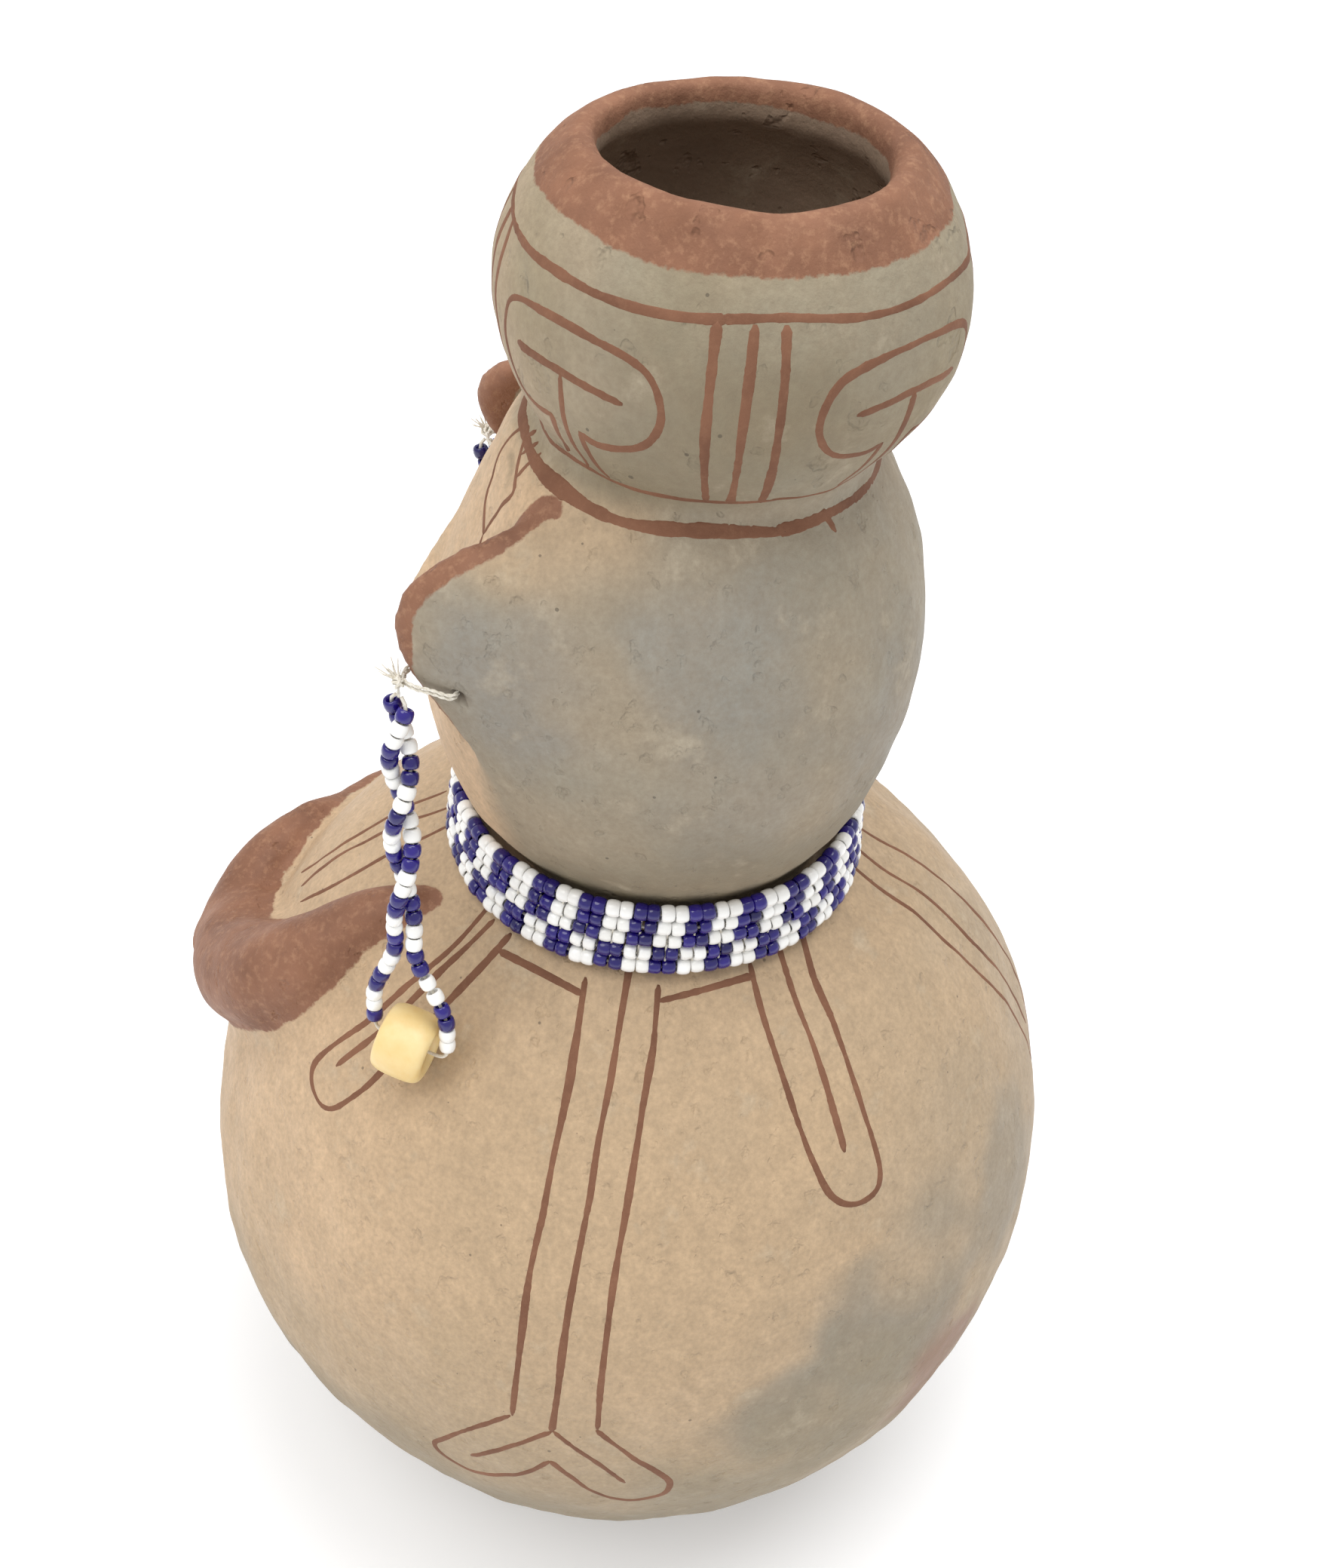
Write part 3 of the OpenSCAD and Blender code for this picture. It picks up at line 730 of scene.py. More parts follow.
# Painted shade: the shallow dent of each thread hole is coloured dark as if the hole went deep
tone = mix(tone, EAR_HOLE_PAINTED_SHADE, 0.9 * hole_deep)


# ------------------------------------------------------------------ materials
def new_material(name):
    material = bpy.data.materials.new(name)
    material.use_nodes = True
    tree = material.node_tree
    return material, tree, tree.nodes["Principled BSDF"]


def node(tree, kind, **values):
    made = tree.nodes.new(kind)
    for key, value in values.items():
        if key in made.inputs:
            made.inputs[key].default_value = value
        else:
            setattr(made, key, value)
    return made


def noise_at(tree, where, scale, detail=4, rough=0.55):
    made = node(tree, "ShaderNodeTexNoise", Scale=scale, Detail=detail, Roughness=rough)
    tree.links.new(where, made.inputs["Vector"])
    return made.outputs["Fac"]


def ranged(tree, value, low, high, out_low, out_high):
    made = node(tree, "ShaderNodeMapRange")
    made.inputs["From Min"].default_value = low
    made.inputs["From Max"].default_value = high
    made.inputs["To Min"].default_value = out_low
    made.inputs["To Max"].default_value = out_high
    tree.links.new(value, made.inputs["Value"])
    return made.outputs["Result"]


def mixed(tree, fac, a, b):
    made = node(tree, "ShaderNodeMix", data_type="RGBA")
    for value, socket in ((fac, 0), (a, 6), (b, 7)):
        if hasattr(value, "is_linked"):
            tree.links.new(value, made.inputs[socket])
        elif socket == 0:
            made.inputs[socket].default_value = value
        else:
            made.inputs[socket].default_value = (*value, 1)
    return made.outputs[2]


def math_node(tree, operation, a, b):
    made = node(tree, "ShaderNodeMath", operation=operation)
    for value, socket in ((a, 0), (b, 1)):
        if hasattr(value, "is_linked"):
            tree.links.new(value, made.inputs[socket])
        else:
            made.inputs[socket].default_value = value
    return made.outputs[0]


def bumped(tree, height, strength, distance, shader):
    """Relief from a height, over any relief that the shader has already."""
    made = node(tree, "ShaderNodeBump", Strength=strength, Distance=distance)
    tree.links.new(height, made.inputs["Height"])
    for link in shader.inputs["Normal"].links:
        tree.links.new(link.from_socket, made.inputs["Normal"])
    tree.links.new(made.outputs["Normal"], shader.inputs["Normal"])


SLIP_DARK = shade(120, 82, 62)
SLIP_RED = shade(146, 103, 79)
SLIP_WORN = shade(176, 134, 104)
LINE_BROWN = shade(72, 44, 32)


def slip_colour(tree, where, worn_share):
    patch = noise_at(tree, where, 130, 5, 0.55)
    worn = noise_at(tree, where, 900, 6, 0.7)
    base = mixed(tree, ranged(tree, patch, 0.32, 0.68, 0, 1), SLIP_DARK, SLIP_RED)
    return mixed(tree, ranged(tree, worn, 0.5, 0.74, 0, worn_share), base, SLIP_WORN)


def clay_material(name, grain, roughness, relief):
    """Burnished, smoke-clouded clay with specks, pits and slip where the slip attribute says."""
    material, tree, shader = new_material(name)
    where = node(tree, "ShaderNodeTexCoord").outputs["Object"]
    tone_at = node(tree, "ShaderNodeAttribute", attribute_name="tone").outputs["Color"]
    slip_at = node(tree, "ShaderNodeAttribute", attribute_name="slip").outputs["Fac"]
    mottle = noise_at(tree, where, 160, 6, 0.62)
    fine = noise_at(tree, where, 1400, 4, 0.6)
    colour = mixed(tree, ranged(tree, mottle, 0.3, 0.7, 0.0, 0.32), tone_at, (0.30, 0.22, 0.14))
    colour = mixed(tree, ranged(tree, mottle, 0.58, 0.74, 0.0, 0.28), colour, tuple(PALE))
    colour = mixed(tree, ranged(tree, fine, 0.25, 0.75, 0.42, 0.0), colour, (0.20, 0.15, 0.10))
    speck = node(tree, "ShaderNodeTexVoronoi", Scale=420.0)
    tree.links.new(where, speck.inputs["Vector"])
    speck_size = noise_at(tree, where, 300, 2, 0.5)
    reach = math_node(tree, "MULTIPLY", ranged(tree, speck_size, 0.5, 0.8, 0.0, 1.0), 0.16)
    dark = math_node(tree, "LESS_THAN", speck.outputs["Distance"], reach)
    colour = mixed(tree, math_node(tree, "MULTIPLY", dark, 0.55), colour, (0.05, 0.04, 0.03))
    paint = math_node(tree, "ADD", slip_at, ranged(tree, fine, 0.3, 0.7, -0.07, 0.07))
    paint = ranged(tree, paint, 0.45, 0.55, 0.0, 1.0)
    colour = mixed(tree, paint, colour, slip_colour(tree, where, 0.6))
    tree.links.new(colour, shader.inputs["Base Color"])
    tree.links.new(ranged(tree, mottle, 0.3, 0.7, roughness - 0.08, roughness + 0.1),
                   shader.inputs["Roughness"])
    shader.inputs["Specular IOR Level"].default_value = 0.32
    grit = noise_at(tree, where, 1000 * grain, 5, 0.65)
    bumped(tree, grit, 0.7 * relief, 0.0003, shader)
    pits = ranged(tree, noise_at(tree, where, 420 * grain, 3, 0.5), 0.62, 0.78, 1.0, 0.0)
    bumped(tree, pits, 0.8 * relief, 0.0006, shader)
    return material


def paint_material():
    """Thin red-brown slip brushed on in lines, denser and paler along the stroke."""
    material, tree, shader = new_material("slip_paint")
    where = node(tree, "ShaderNodeTexCoord").outputs["Object"]
    tree.links.new(mixed(tree, 0.22, slip_colour(tree, where, 0.25), LINE_BROWN), shader.inputs["Base Color"])
    shader.inputs["Roughness"].default_value = 0.78
    shader.inputs["Specular IOR Level"].default_value = 0.25
    bumped(tree, noise_at(tree, where, 1200, 5, 0.65), 0.5, 0.0002, shader)
    return material


def bead_material(name, colour, deep, roughness):
    """Opaque seed-bead glass: each bead a little lighter or deeper than the next."""
    material, tree, shader = new_material(name)
    tint = node(tree, "ShaderNodeAttribute", attribute_name="tint").outputs["Fac"]
    where = node(tree, "ShaderNodeTexCoord").outputs["Object"]
    swirl = noise_at(tree, where, 900, 3, 0.5)
    base = mixed(tree, tint, deep, colour)
    base = mixed(tree, ranged(tree, swirl, 0.35, 0.65, 0.0, 0.18), base, deep)
    tree.links.new(base, shader.inputs["Base Color"])
    tree.links.new(ranged(tree, swirl, 0.3, 0.7, roughness - 0.04, roughness + 0.1),
                   shader.inputs["Roughness"])
    shader.inputs["Coat Weight"].default_value = 0.35
    shader.inputs["Coat Roughness"].default_value = 0.08
    bumped(tree, noise_at(tree, where, 1500, 3, 0.5), 0.25, 0.00008, shader)
    return material


def thread_material():
    material, tree, shader = new_material("thread")
    where = node(tree, "ShaderNodeTexCoord").outputs["Object"]
    fibre = noise_at(tree, where, 2500, 4, 0.6)
    soil = noise_at(tree, where, 350, 3, 0.5)
    base = mixed(tree, ranged(tree, fibre, 0.3, 0.7, 0, 1), shade(206, 198, 180), shade(243, 239, 229))
    base = mixed(tree, ranged(tree, soil, 0.5, 0.75, 0, 0.5), base, shade(186, 172, 146))
    tree.links.new(base, shader.inputs["Base Color"])
    shader.inputs["Roughness"].default_value = 0.85
    shader.inputs["Sheen Weight"].default_value = 0.3
    bumped(tree, fibre, 0.6, 0.00012, shader)
    return material


CLAY_MATERIAL = {
    "body": clay_material("clay_body", 1.0, 0.58, 0.7),
    "head": clay_material("clay_head", 1.0, 0.62, 0.8),
    "cup": clay_material("clay_cup", 0.6, 0.76, 1.25),
}
PAINT = paint_material()
WHITE_GLASS = bead_material("white_glass", shade(254, 254, 252), shade(240, 239, 235), 0.2)
BLUE_GLASS = bead_material("blue_glass", shade(38, 22, 128), shade(18, 9, 82), 0.14)
THREAD = thread_material()


# ------------------------------------------------------------------ clay pieces
quads = np.array([tuple(p.vertices) if len(p.vertices) == 4 else tuple(p.vertices) + (p.vertices[-1],)
                  for p in clay.polygons])


def clay_piece(name, faces, material, nodes):
    used = np.unique(faces)
    index = np.full(len(co), -1)
    index[used] = np.arange(len(used))
    mesh = bpy.data.meshes.new(name)
    mesh.from_pydata(co[used].tolist(), [], [tuple(dict.fromkeys(index[f])) for f in faces])
    mesh.polygons.foreach_set("use_smooth", [True] * len(mesh.polygons))
    mesh.attributes.new("tone", "FLOAT_COLOR", "POINT").data.foreach_set(
        "color", np.hstack([tone[used], np.ones((len(used), 1))]).ravel())
    mesh.attributes.new("slip", "FLOAT", "POINT").data.foreach_set("value", slip[used])
    mesh.materials.append(material)
    piece = bpy.data.objects.new(name, mesh)
    bpy.context.scene.collection.objects.link(piece)
    return placed(piece, "jar", nodes)


def patches(faces):
    """A number for each face, the same for all faces that hang together."""
    patch = np.arange(len(co))
    while True:
        least = patch[faces].min(axis=1)
        if np.all(patch[faces] == least[:, None]):
            return least
        np.minimum.at(patch, faces.ravel(), np.repeat(least, faces.shape[1]))
        patch = patch[patch]


left = co[:, 0] > 0
label = np.zeros(len(co), int)
groups = [("body_clay", "body", ["body_jar"], None), ("head_clay", "head", ["head"], on_head),
          ("cup_clay", "cup", ["cup"], is_cup), ("left_ear_clay", "head", ["left_ear"], is_ear & left),
          ("right_ear_clay", "head", ["right_ear"], is_ear & ~left),
          ("left_arm_clay", "body", ["left_arm"], is_arm & left),
          ("right_arm_clay", "body", ["right_arm"], is_arm & ~left),
          ("nose_clay", "head", ["nose"], is_nose), ("lips_clay", "head", ["mouth_lips"], is_lips)]
for number, (name, kind, nodes, chosen) in enumerate(groups):
    if chosen is not None:
        label[chosen] = number
face_label = np.max(label[quads], axis=1)
for number in reversed(range(len(groups))):
    members = np.nonzero(face_label == number)[0]
    _, which, count = np.unique(patches(quads[members]), return_inverse=True, return_counts=True)
    stray = members[count[which.ravel()] < 0.2 * count.max()]
    face_label[stray] = -1
    while len(stray):
        beside = np.full(len(co), -1)
        np.maximum.at(beside, quads.ravel(), np.repeat(face_label, quads.shape[1]))
        face_label[stray] = beside[quads[stray]].max(axis=1)
        stray = stray[face_label[stray] < 0]
for number, (name, kind, nodes, chosen) in enumerate(groups):
    clay_piece(name, quads[face_label == number], CLAY_MATERIAL[kind], nodes)
bpy.data.meshes.remove(clay)


# ------------------------------------------------------------------ painted lines
LINE_STEP = 0.7 * MM
LINE_W = 1.15 * MM
SEAM_ZONE = (NECK_Z + 53 * MM, NECK_Z + 66 * MM)


def ray_way(shape, p):
    """The way to look outwards from p: level near the cup's foot, with other clay close by."""
    if SEAM_ZONE[0] < p[2] < SEAM_ZONE[1]:
        return unit(np.array([p[0], p[1] - shape.y, 0]))
    return shape.normal(p)


def on_skin(p, out):
    """The clay surface below a point near it, seen from outside along out."""
    hit = SKIN.ray_cast(Vector(p + out * 5 * MM), Vector(-out), 12 * MM)
    if hit[0] is None:
        hit = SKIN.find_nearest(Vector(p))
    return np.array(hit[0])


def painted_line(shape, points, width, seed):
    """A brushed line through (turn in degrees, height in mm) points on a spheroid."""
    guide = np.array([shape.point(t, z * MM) for t, z in points])
    raw = spline(guide, 12)
    lengths = np.concatenate([[0], np.cumsum(np.linalg.norm(np.diff(raw, axis=0), axis=1))])
    count = max(3, int(lengths[-1] / LINE_STEP) + 1)
    at = np.linspace(0, lengths[-1], count)
    line = np.array([np.interp(at, lengths, raw[:, k]) for k in range(3)]).T
    draw = np.random.default_rng(1000 + seed)
    wobble = np.interp(at, np.linspace(0, lengths[-1], max(2, count // 6)),
                       draw.normal(0, 1, max(2, count // 6)))
    fine = draw.normal(0, 1, count)
    half = 0.5 * width * (1 + 0.16 * wobble + 0.06 * fine)
    ends = np.minimum(at, lengths[-1] - at) / (0.6 * width)
    half *= np.clip(0.35 + 0.65 * np.sqrt(np.clip(ends, 0, 1)), 0, 1)
    shift = 0.12 * MM * np.interp(at, np.linspace(0, lengths[-1], max(2, count // 9)),
                                  draw.normal(0, 1, max(2, count // 9)))
    across = (-1.0, -0.55, 0.0, 0.55, 1.0)
    lift = (-0.05, 0.035, 0.055, 0.035, -0.05)
    out, faces = [], []
    for i in range(count):
        ahead = unit(line[min(count - 1, i + 1)] - line[max(0, i - 1)])
        normal = ray_way(shape, line[i])
        side = unit(np.cross(normal, ahead))
        for a, up in zip(across, lift):
            p = on_skin(line[i] + side * (shift[i] + a * half[i]), normal)
            out.append(p + normal * up * MM)
        for a in (0.8, -0.8):
            p = on_skin(line[i] + side * (shift[i] + a * half[i]), normal)
            out.append(p - normal * 0.3 * MM)
    ring = len(across) + 2
    for i in range(count - 1):
        for k in range(ring):
            a, b = i * ring, (i + 1) * ring
            k1 = (k + 1) % ring
            faces.append((a + k, a + k1, b + k1, b + k))
    faces.append(tuple(range(ring - 1, -1, -1)))
    faces.append(tuple(range((count - 1) * ring, count * ring)))
    return out, faces


def paint_piece(name, lines):
    placed(make_piece(name, *joined(lines), material=PAINT), "jar", [])


def mirrored(points):
    return [(180 - t, z) for t, z in points]


def body_lines():
    strip = [
        [(-10.7, 116.2), (-8.8, 111.6), (-7.8, 107), (-7.8, 92.7), (-7.4, 81), (-7.3, 69.4)],
        [(-0.1, 117.2), (-1.2, 108.3), (-1.7, 99.5), (-2, 89), (-2.3, 67.5)],
        [(7.8, 116.4), (5.9, 108.6), (4.7, 102), (3.5, 94), (3, 83), (2.9, 69.2)],
    ]
    fork = [
        [(-7.5, 69.3), (-12.9, 63), (-16.7, 56.8), (-17.7, 54.2), (-16.4, 51.6), (-13, 50.2), (-8.9, 52.6),
         (-4.9, 56.9),
         (-2.4, 60.6)],
        [(-2.6, 67.6), (-7.3, 62.5), (-12.2, 55.8)],
        [(-2.3, 67.6), (2.3, 62.4), (6.9, 55.6)],
        [(2.9, 69.2), (7.6, 62.8), (11.1, 58.1), (12.5, 54.8), (12, 51.2), (9.8, 49.2), (7.2, 49.3),
         (3, 52.6), (-0.2, 57.4),
         (-2.4, 60.6)],
    ]
    left_strip = [
        [(-46.8, 117), (-45.6, 113.7), (-46, 110.9), (-48.1, 105.7), (-50.5, 100.3), (-51.7, 96.8),
         (-50, 94.9), (-46.8, 94.3),
         (-44.2, 95.3), (-42, 98.2), (-40.4, 101.4), (-38.1, 107.5), (-36.3, 112.7), (-35.2, 116.6)],
        [(-41.6, 116.6), (-43.1, 109.8), (-45.2, 104.3), (-47.8, 98.8)],
        [(-35.2, 115.4), (-23.7, 115.6), (-10.4, 115.2)],
    ]
    right_strip = [
        [(34, 117), (32, 112.7), (32.1, 107.1), (32.9, 102), (34.8, 97.4), (38.2, 95.2), (42, 95.1),
         (43.9, 97), (44, 102.1),
         (44.7, 106.9), (46.9, 112.6), (53.4, 117.4)],
        [(44, 117.2), (40.6, 113), (39.1, 107.7), (38.8, 100.7)],
        [(7.6, 115.4), (19.2, 116), (33.4, 116.2)],
    ]
    back = [
        [(86.5, 117.5), (84, 111.5), (85, 102), (88.2, 91.5), (90, 82)],
        [(95, 117.2), (91, 112), (90.2, 103), (92, 93), (93.5, 84)],
        [(105, 116.8), (101, 112), (98.6, 103), (98.4, 93), (98.2, 84), (96.6, 79.5), (93.8, 77.6),
         (91.2, 79), (90, 82)],
    ]
    chest = [
        [(-97, 115.4), (-93.4, 110), (-91.6, 104), (-92.4, 97)],
        [(-89.5, 116.2), (-88.6, 107), (-88.2, 98.2)],
        [(-81, 116.4), (-80.2, 110), (-81.4, 104), (-84, 99)],
    ]
    near = strip + fork + left_strip + right_strip
    far = [mirrored(line) for line in near]
    lines = []
    for i, points in enumerate(near + far + back + chest):
        thin = any(points is q for q in back + chest)
        lines.append(painted_line(BODY, points, LINE_W * (0.75 if thin else 1.0), i))
    return lines


def ring_line(shape, height, width, seed, sway=0.0, start=0, span=356):
    turns = np.linspace(start, start + span, 60)
    points = [(t, height(t) + sway * math.sin(math.radians(3 * t + 40))
               + 0.5 * sway * math.sin(math.radians(7 * t)))
              for t in turns]
    return painted_line(shape, points, width, seed)


def raised(points, turn, height):
    """Points moved round by turn and up by height."""
    return [(turn + t, height + z) for t, z in points]


def cup_lines():
    z0 = CUP.z / MM
    top = z0 + 8.3
    low_off = -13.5
    low = z0 + low_off
    half_bar = [(5, -6.6), (11, -7.2), (21, -6), (26, -2.4), (24, 1.6), (17, 3.6)]
    bar = [(-t, z) for t, z in half_bar] + [(0, 4.4)] + half_bar[::-1]
    strokes = [[(-5.2, -6.5), (-6, -10), (-9, low_off + 0.4)], [(5.2, -6.5), (6, -10), (9, low_off + 0.4)],
               [(-17, -1.4), (0, -0.8), (17, -1.4)], [(0, -0.9), (0.4, -7), (0.8, low_off)]]
    lines = [ring_line(CUP, lambda t: top, 1.35 * MM, 60, 0.35, 0, 362)]
    for quarter in range(4):
        turn0 = 7.5 + 90 * quarter
        jitter = (0, 1.5, -1, 2)[quarter]
        for k, (a, b) in enumerate(((-8.5, -7), (0.5, 0), (8.5, 9.5))):
            lines.append(painted_line(CUP, [(turn0 + a + jitter, top), (turn0 + (a + b) / 2 + jitter, z0 - 3),
                                            (turn0 + b + jitter, low)], 1.35 * MM, 61 + quarter * 3 + k))
        t0 = turn0 + 44 + jitter
        for k, points in enumerate([bar] + strokes):
            lines.append(painted_line(CUP, raised(points, t0, z0), 1.2 * MM, 80 + 4 * k + quarter))
    lines.append(ring_line(CUP, lambda t: low, 0.8 * MM, 101, 0.2, 20, 362))
    return lines


def head_lines():
    top = (HEAD.z + 28.6 * MM) / MM
    lines = [ring_line(HEAD, lambda t: top - 0.9 * math.sin(math.radians(t)), 1.5 * MM, 110, 0.15, 30, 363)]
    lines.append(painted_line(HEAD, [(47, top + 0.4), (50, top - 2.4)], 0.9 * MM, 111))
    mid = HEAD.z / MM
    eye = [(-59.2, 19.8), (-58.1, 21.7), (-56.1, 23.4), (-53.6, 24.9), (-53.6, 25.8), (-55.8, 26.3),
           (-58.4, 27.1),
           (-61.6, 28.1), (-65.2, 29.1), (-69.5, 29.6), (-73, 28), (-74, 25.5), (-70.5, 22.4), (-65, 20.6),
           (-59.2, 19.8)]
    tail = [(-59.2, 19.8), (-57.6, 17.9), (-55.9, 15.6)]
    lashes = [[(-56.6, 26.6), (-52, 29.9)], [(-61.2, 28.2), (-57.2, 30.3)], [(-65.6, 29.2), (-62.4, 30.6)]]
    for side in (1, -1):
        strokes = [(eye, 0.8, 120 + side), (tail, 0.8, 124 + side)]
        strokes += [(lash, 0.75, 128 + 3 * side + k) for k, lash in enumerate(lashes)]
        for points, width, seed in strokes:
            points = raised(points, 0, mid)
            lines.append(painted_line(HEAD, points if side > 0 else mirrored(points), width * MM, seed))
    return lines


paint_piece("painted_lines_body", body_lines())
paint_piece("painted_lines_cup", cup_lines())
paint_piece("painted_lines_head", head_lines())


# ------------------------------------------------------------------ beads
def bead_profile(hole, outer, length, count, power):
    """A rounded cross-section between the hole and the outside, as (radius, offset along the hole)."""
    middle, a, b = (outer + hole) / 2, (outer - hole) / 2, length / 2
    line = []
    for k in range(count):
        t = 2 * math.pi * k / count
        c, s = math.cos(t), math.sin(t)
        line.append((middle + a * math.copysign(abs(c) ** (2 / power), c),
                     b * math.copysign(abs(s) ** (2 / power), s)))
    return line


def bead_mesh(centre, axis, hole, outer, length, around=16, ring=12, power=2.5, spin=0.0):
    axis = unit(np.array(axis, float))
    seed = np.array([0, 0, 1.0]) if abs(axis[2]) < 0.9 else np.array([1.0, 0, 0])
    x = unit(np.cross(seed, axis))
    y = np.cross(axis, x)
    line = bead_profile(hole, outer, length, ring, power)
    angles = 2 * math.pi * np.arange(around) / around + spin
    points = [centre + axis * h + r * (math.cos(a) * x + math.sin(a) * y) for a in angles for r, h in line]
    faces = []
    for i in range(around):
        for k in range(ring):
            a, b = i * ring, ((i + 1) % around) * ring
            k1 = (k + 1) % ring
            faces.append((a + k, b + k, b + k1, a + k1))
    return points, faces


def beads_piece(name, beads, material, body, nodes):
    """beads is a list of (points, faces, tint)."""
    piece = make_piece(name, *joined([(p, f) for p, f, _ in beads]), material=material)
    tints = np.concatenate([np.full(len(p), tint) for p, _, tint in beads])
    piece.data.attributes.new("tint", "FLOAT", "POINT").data.foreach_set("value", tints)
    return placed(piece, body, nodes)


BEAD_D = 2.1 * MM
BEAD_HOLE = 0.45 * MM
COLLAR_COUNT = 100
ROWS = 5


def collar_row(row):
    """Radius and height of a row's bead centres."""
    low, high = node_box(f"collar_row_{row}_white")
    return high[0] - BEAD_D / 2 + 0.02 * MM, (low[2] + high[2]) / 2


def is_blue(row, i):
    return (i + (2 if row <= 2 else 0)) % 4 < 2


def collar_beads():
    for row in range(1, ROWS + 1):
        r, z = collar_row(row)
        edge_row = row in (1, ROWS)
        made = {True: [], False: []}
        drift = 0.35 * (row - 3)
        for i in range(COLLAR_COUNT):
            a = 2 * math.pi * (i + drift * (0.6 if row > 2 else 0.2) + rng.normal(0, 0.05)) / COLLAR_COUNT
            rr = r + rng.normal(0, 0.07) * MM
            zz = z + rng.normal(0, 0.08) * MM + 0.25 * MM * math.sin(3 * a + 1)
            axis = (-math.sin(a) + rng.normal(0, 0.05), math.cos(a) + rng.normal(0, 0.05),
                    rng.normal(0, 0.06))
            size = (1.04 if edge_row else 0.97) * (1 + rng.normal(0, 0.025))
            length = (1.66 if edge_row else 1.58) * MM * (1 + rng.normal(0, 0.04))
            centre = np.array([rr * math.cos(a), rr * math.sin(a), zz])
            p, f = bead_mesh(centre, axis, BEAD_HOLE, BEAD_D / 2 * size, length, power=2.15,
                             spin=rng.uniform(0, 1))
            made[is_blue(row, i)].append((p, f, float(np.clip(rng.normal(0.6, 0.25), 0, 1))))
        for blue in (False, True):
            word = "blue" if blue else "white"
            beads_piece(f"beads_row_{row}_{word}", made[blue], BLUE_GLASS if blue else WHITE_GLASS, "collar",
                        [f"collar_row_{row}_{word}"])


collar_beads()


def collar_threads():
    """The thread inside each row, and the stitches that tie each row to the next."""
    parts = []
    rows = [collar_row(row) for row in range(1, ROWS + 1)]
    for r, z in rows:
        ring = [(r * math.cos(a), r * math.sin(a), z)
                for a in np.linspace(0, 2 * math.pi, 160, endpoint=False)]
        parts.append(sweep(ring, 0.18 * MM, 8, closed=True))
    for (r0, z0), (r1, z1) in zip(rows, rows[1:]):
        for i in range(0, COLLAR_COUNT, 2):
            a = 2 * math.pi * (i + 0.5) / COLLAR_COUNT
            d = np.array([math.cos(a), math.sin(a), 0])
            ends = [d * r0 + np.array([0, 0, z0]), d * ((r0 + r1) / 2 + 0.15 * MM)
                    + np.array([0, 0, (z0 + z1) / 2]),
                    d * r1 + np.array([0, 0, z1])]
            parts.append(sweep(spline(ends, 3), 0.15 * MM, 6))
    placed(make_piece("collar_stitching", *joined(parts), material=THREAD), "collar", ["collar_threads"])


collar_threads()

# ------------------------------------------------------------------ earrings
KNOT = np.array([26.4, -28, 159.2]) * MM
PONY = np.array([36.7, -25.9, 110.5]) * MM
STRAND_TOP = np.array([26.8, -28, 157.6]) * MM
SPREAD_RUN = 1.0 * MM
PONY_TILT = math.radians(8.5)
PONY_TURN = math.radians(13)
TWIST_RUN = 33 * MM
TWIST_GAP = 1.2 * MM
START_GAP = 0.35 * MM
LOOP_HALF = 4.9 * MM
LOOP_EASE = 10.5 * MM
LOOP_SHIFT = 0.55 * MM
BEND_R = 1.5 * MM
BEAD_STEP = 1.63 * MM
FIRST_BEAD = 1.75 * MM
STRAND_BEADS = 28
THREAD_R = 0.22 * MM
STRAND_AXIS = unit(PONY - STRAND_TOP)
STRAND_RUN = float(np.linalg.norm(PONY - STRAND_TOP))
PONY_AXIS = np.array([math.cos(PONY_TILT) * math.sin(PONY_TURN), math.cos(PONY_TILT) * math.cos(PONY_TURN),
                      -math.sin(PONY_TILT)])
ACROSS = unit(np.cross(STRAND_AXIS, PONY_AXIS))


def loop_part(s):
    """Share of the closing loop's width reached at s below the knot."""
    return (1 - math.cos(math.pi * min(1, max(0, s - TWIST_RUN) / LOOP_EASE))) / 2


def strand_point(s, way):
    gap = START_GAP + (TWIST_GAP - START_GAP) * min(1,
                                                    s / SPREAD_RUN) + (LOOP_HALF - TWIST_GAP) * loop_part(s)
    turned = -math.radians(540) * max(0, 1 - s / TWIST_RUN) ** 1.15
    out = math.cos(turned) * PONY_AXIS + math.sin(turned) * ACROSS
    return STRAND_TOP + STRAND_AXIS * s + LOOP_SHIFT * loop_part(s) * PONY_AXIS + way * gap * out


def strand_direction(s, way):
    return strand_point(s + 0.4 * MM, way) - strand_point(s - 0.4 * MM, way)


def earring_route():
    steps = 68
    half = [(STRAND_RUN - BEND_R) * i / steps for i in range(steps + 1)]

    def bend(a, way):
        a = math.radians(a)
        along = LOOP_SHIFT + way * (LOOP_HALF - BEND_R + BEND_R * math.cos(a))
        return PONY + along * PONY_AXIS - STRAND_AXIS * BEND_R * (1 - math.sin(a))

    angles = (15, 30, 45, 60, 75, 90)
    return ([strand_point(s, 1) for s in half] + [bend(a, 1) for a in angles]
            + [bend(a, -1) for a in reversed(angles)]
            + [strand_point(s, -1) for s in reversed(half)])


def sided(points, side):
    return [np.array(p) * np.array([side, 1, 1]) for p in points]


def hand(side):
    return "left" if side > 0 else "right"


def flipped(faces, side):
    return faces if side > 0 else [tuple(reversed(f)) for f in faces]


def earring_cord(side):
    data = bpy.data.curves.new(f"{hand(side)}_earring_cord", "CURVE")
    data.dimensions = "3D"
    data.bevel_depth = THREAD_R
    data.bevel_resolution = 3
    data.use_fill_caps = True
    route = sided(earring_route(), side)
    line = data.splines.new("POLY")
    line.points.add(len(route) - 1)
    for point, at in zip(line.points, route):
        point.co = (*at, 1)
    line.use_smooth = True
    piece = bpy.data.objects.new(data.name, data)
    bpy.context.scene.collection.objects.link(piece)
    data.materials.append(THREAD)
    return placed(piece, f"{hand(side)}_earring", [f"{hand(side)}_earring_thread"]), route


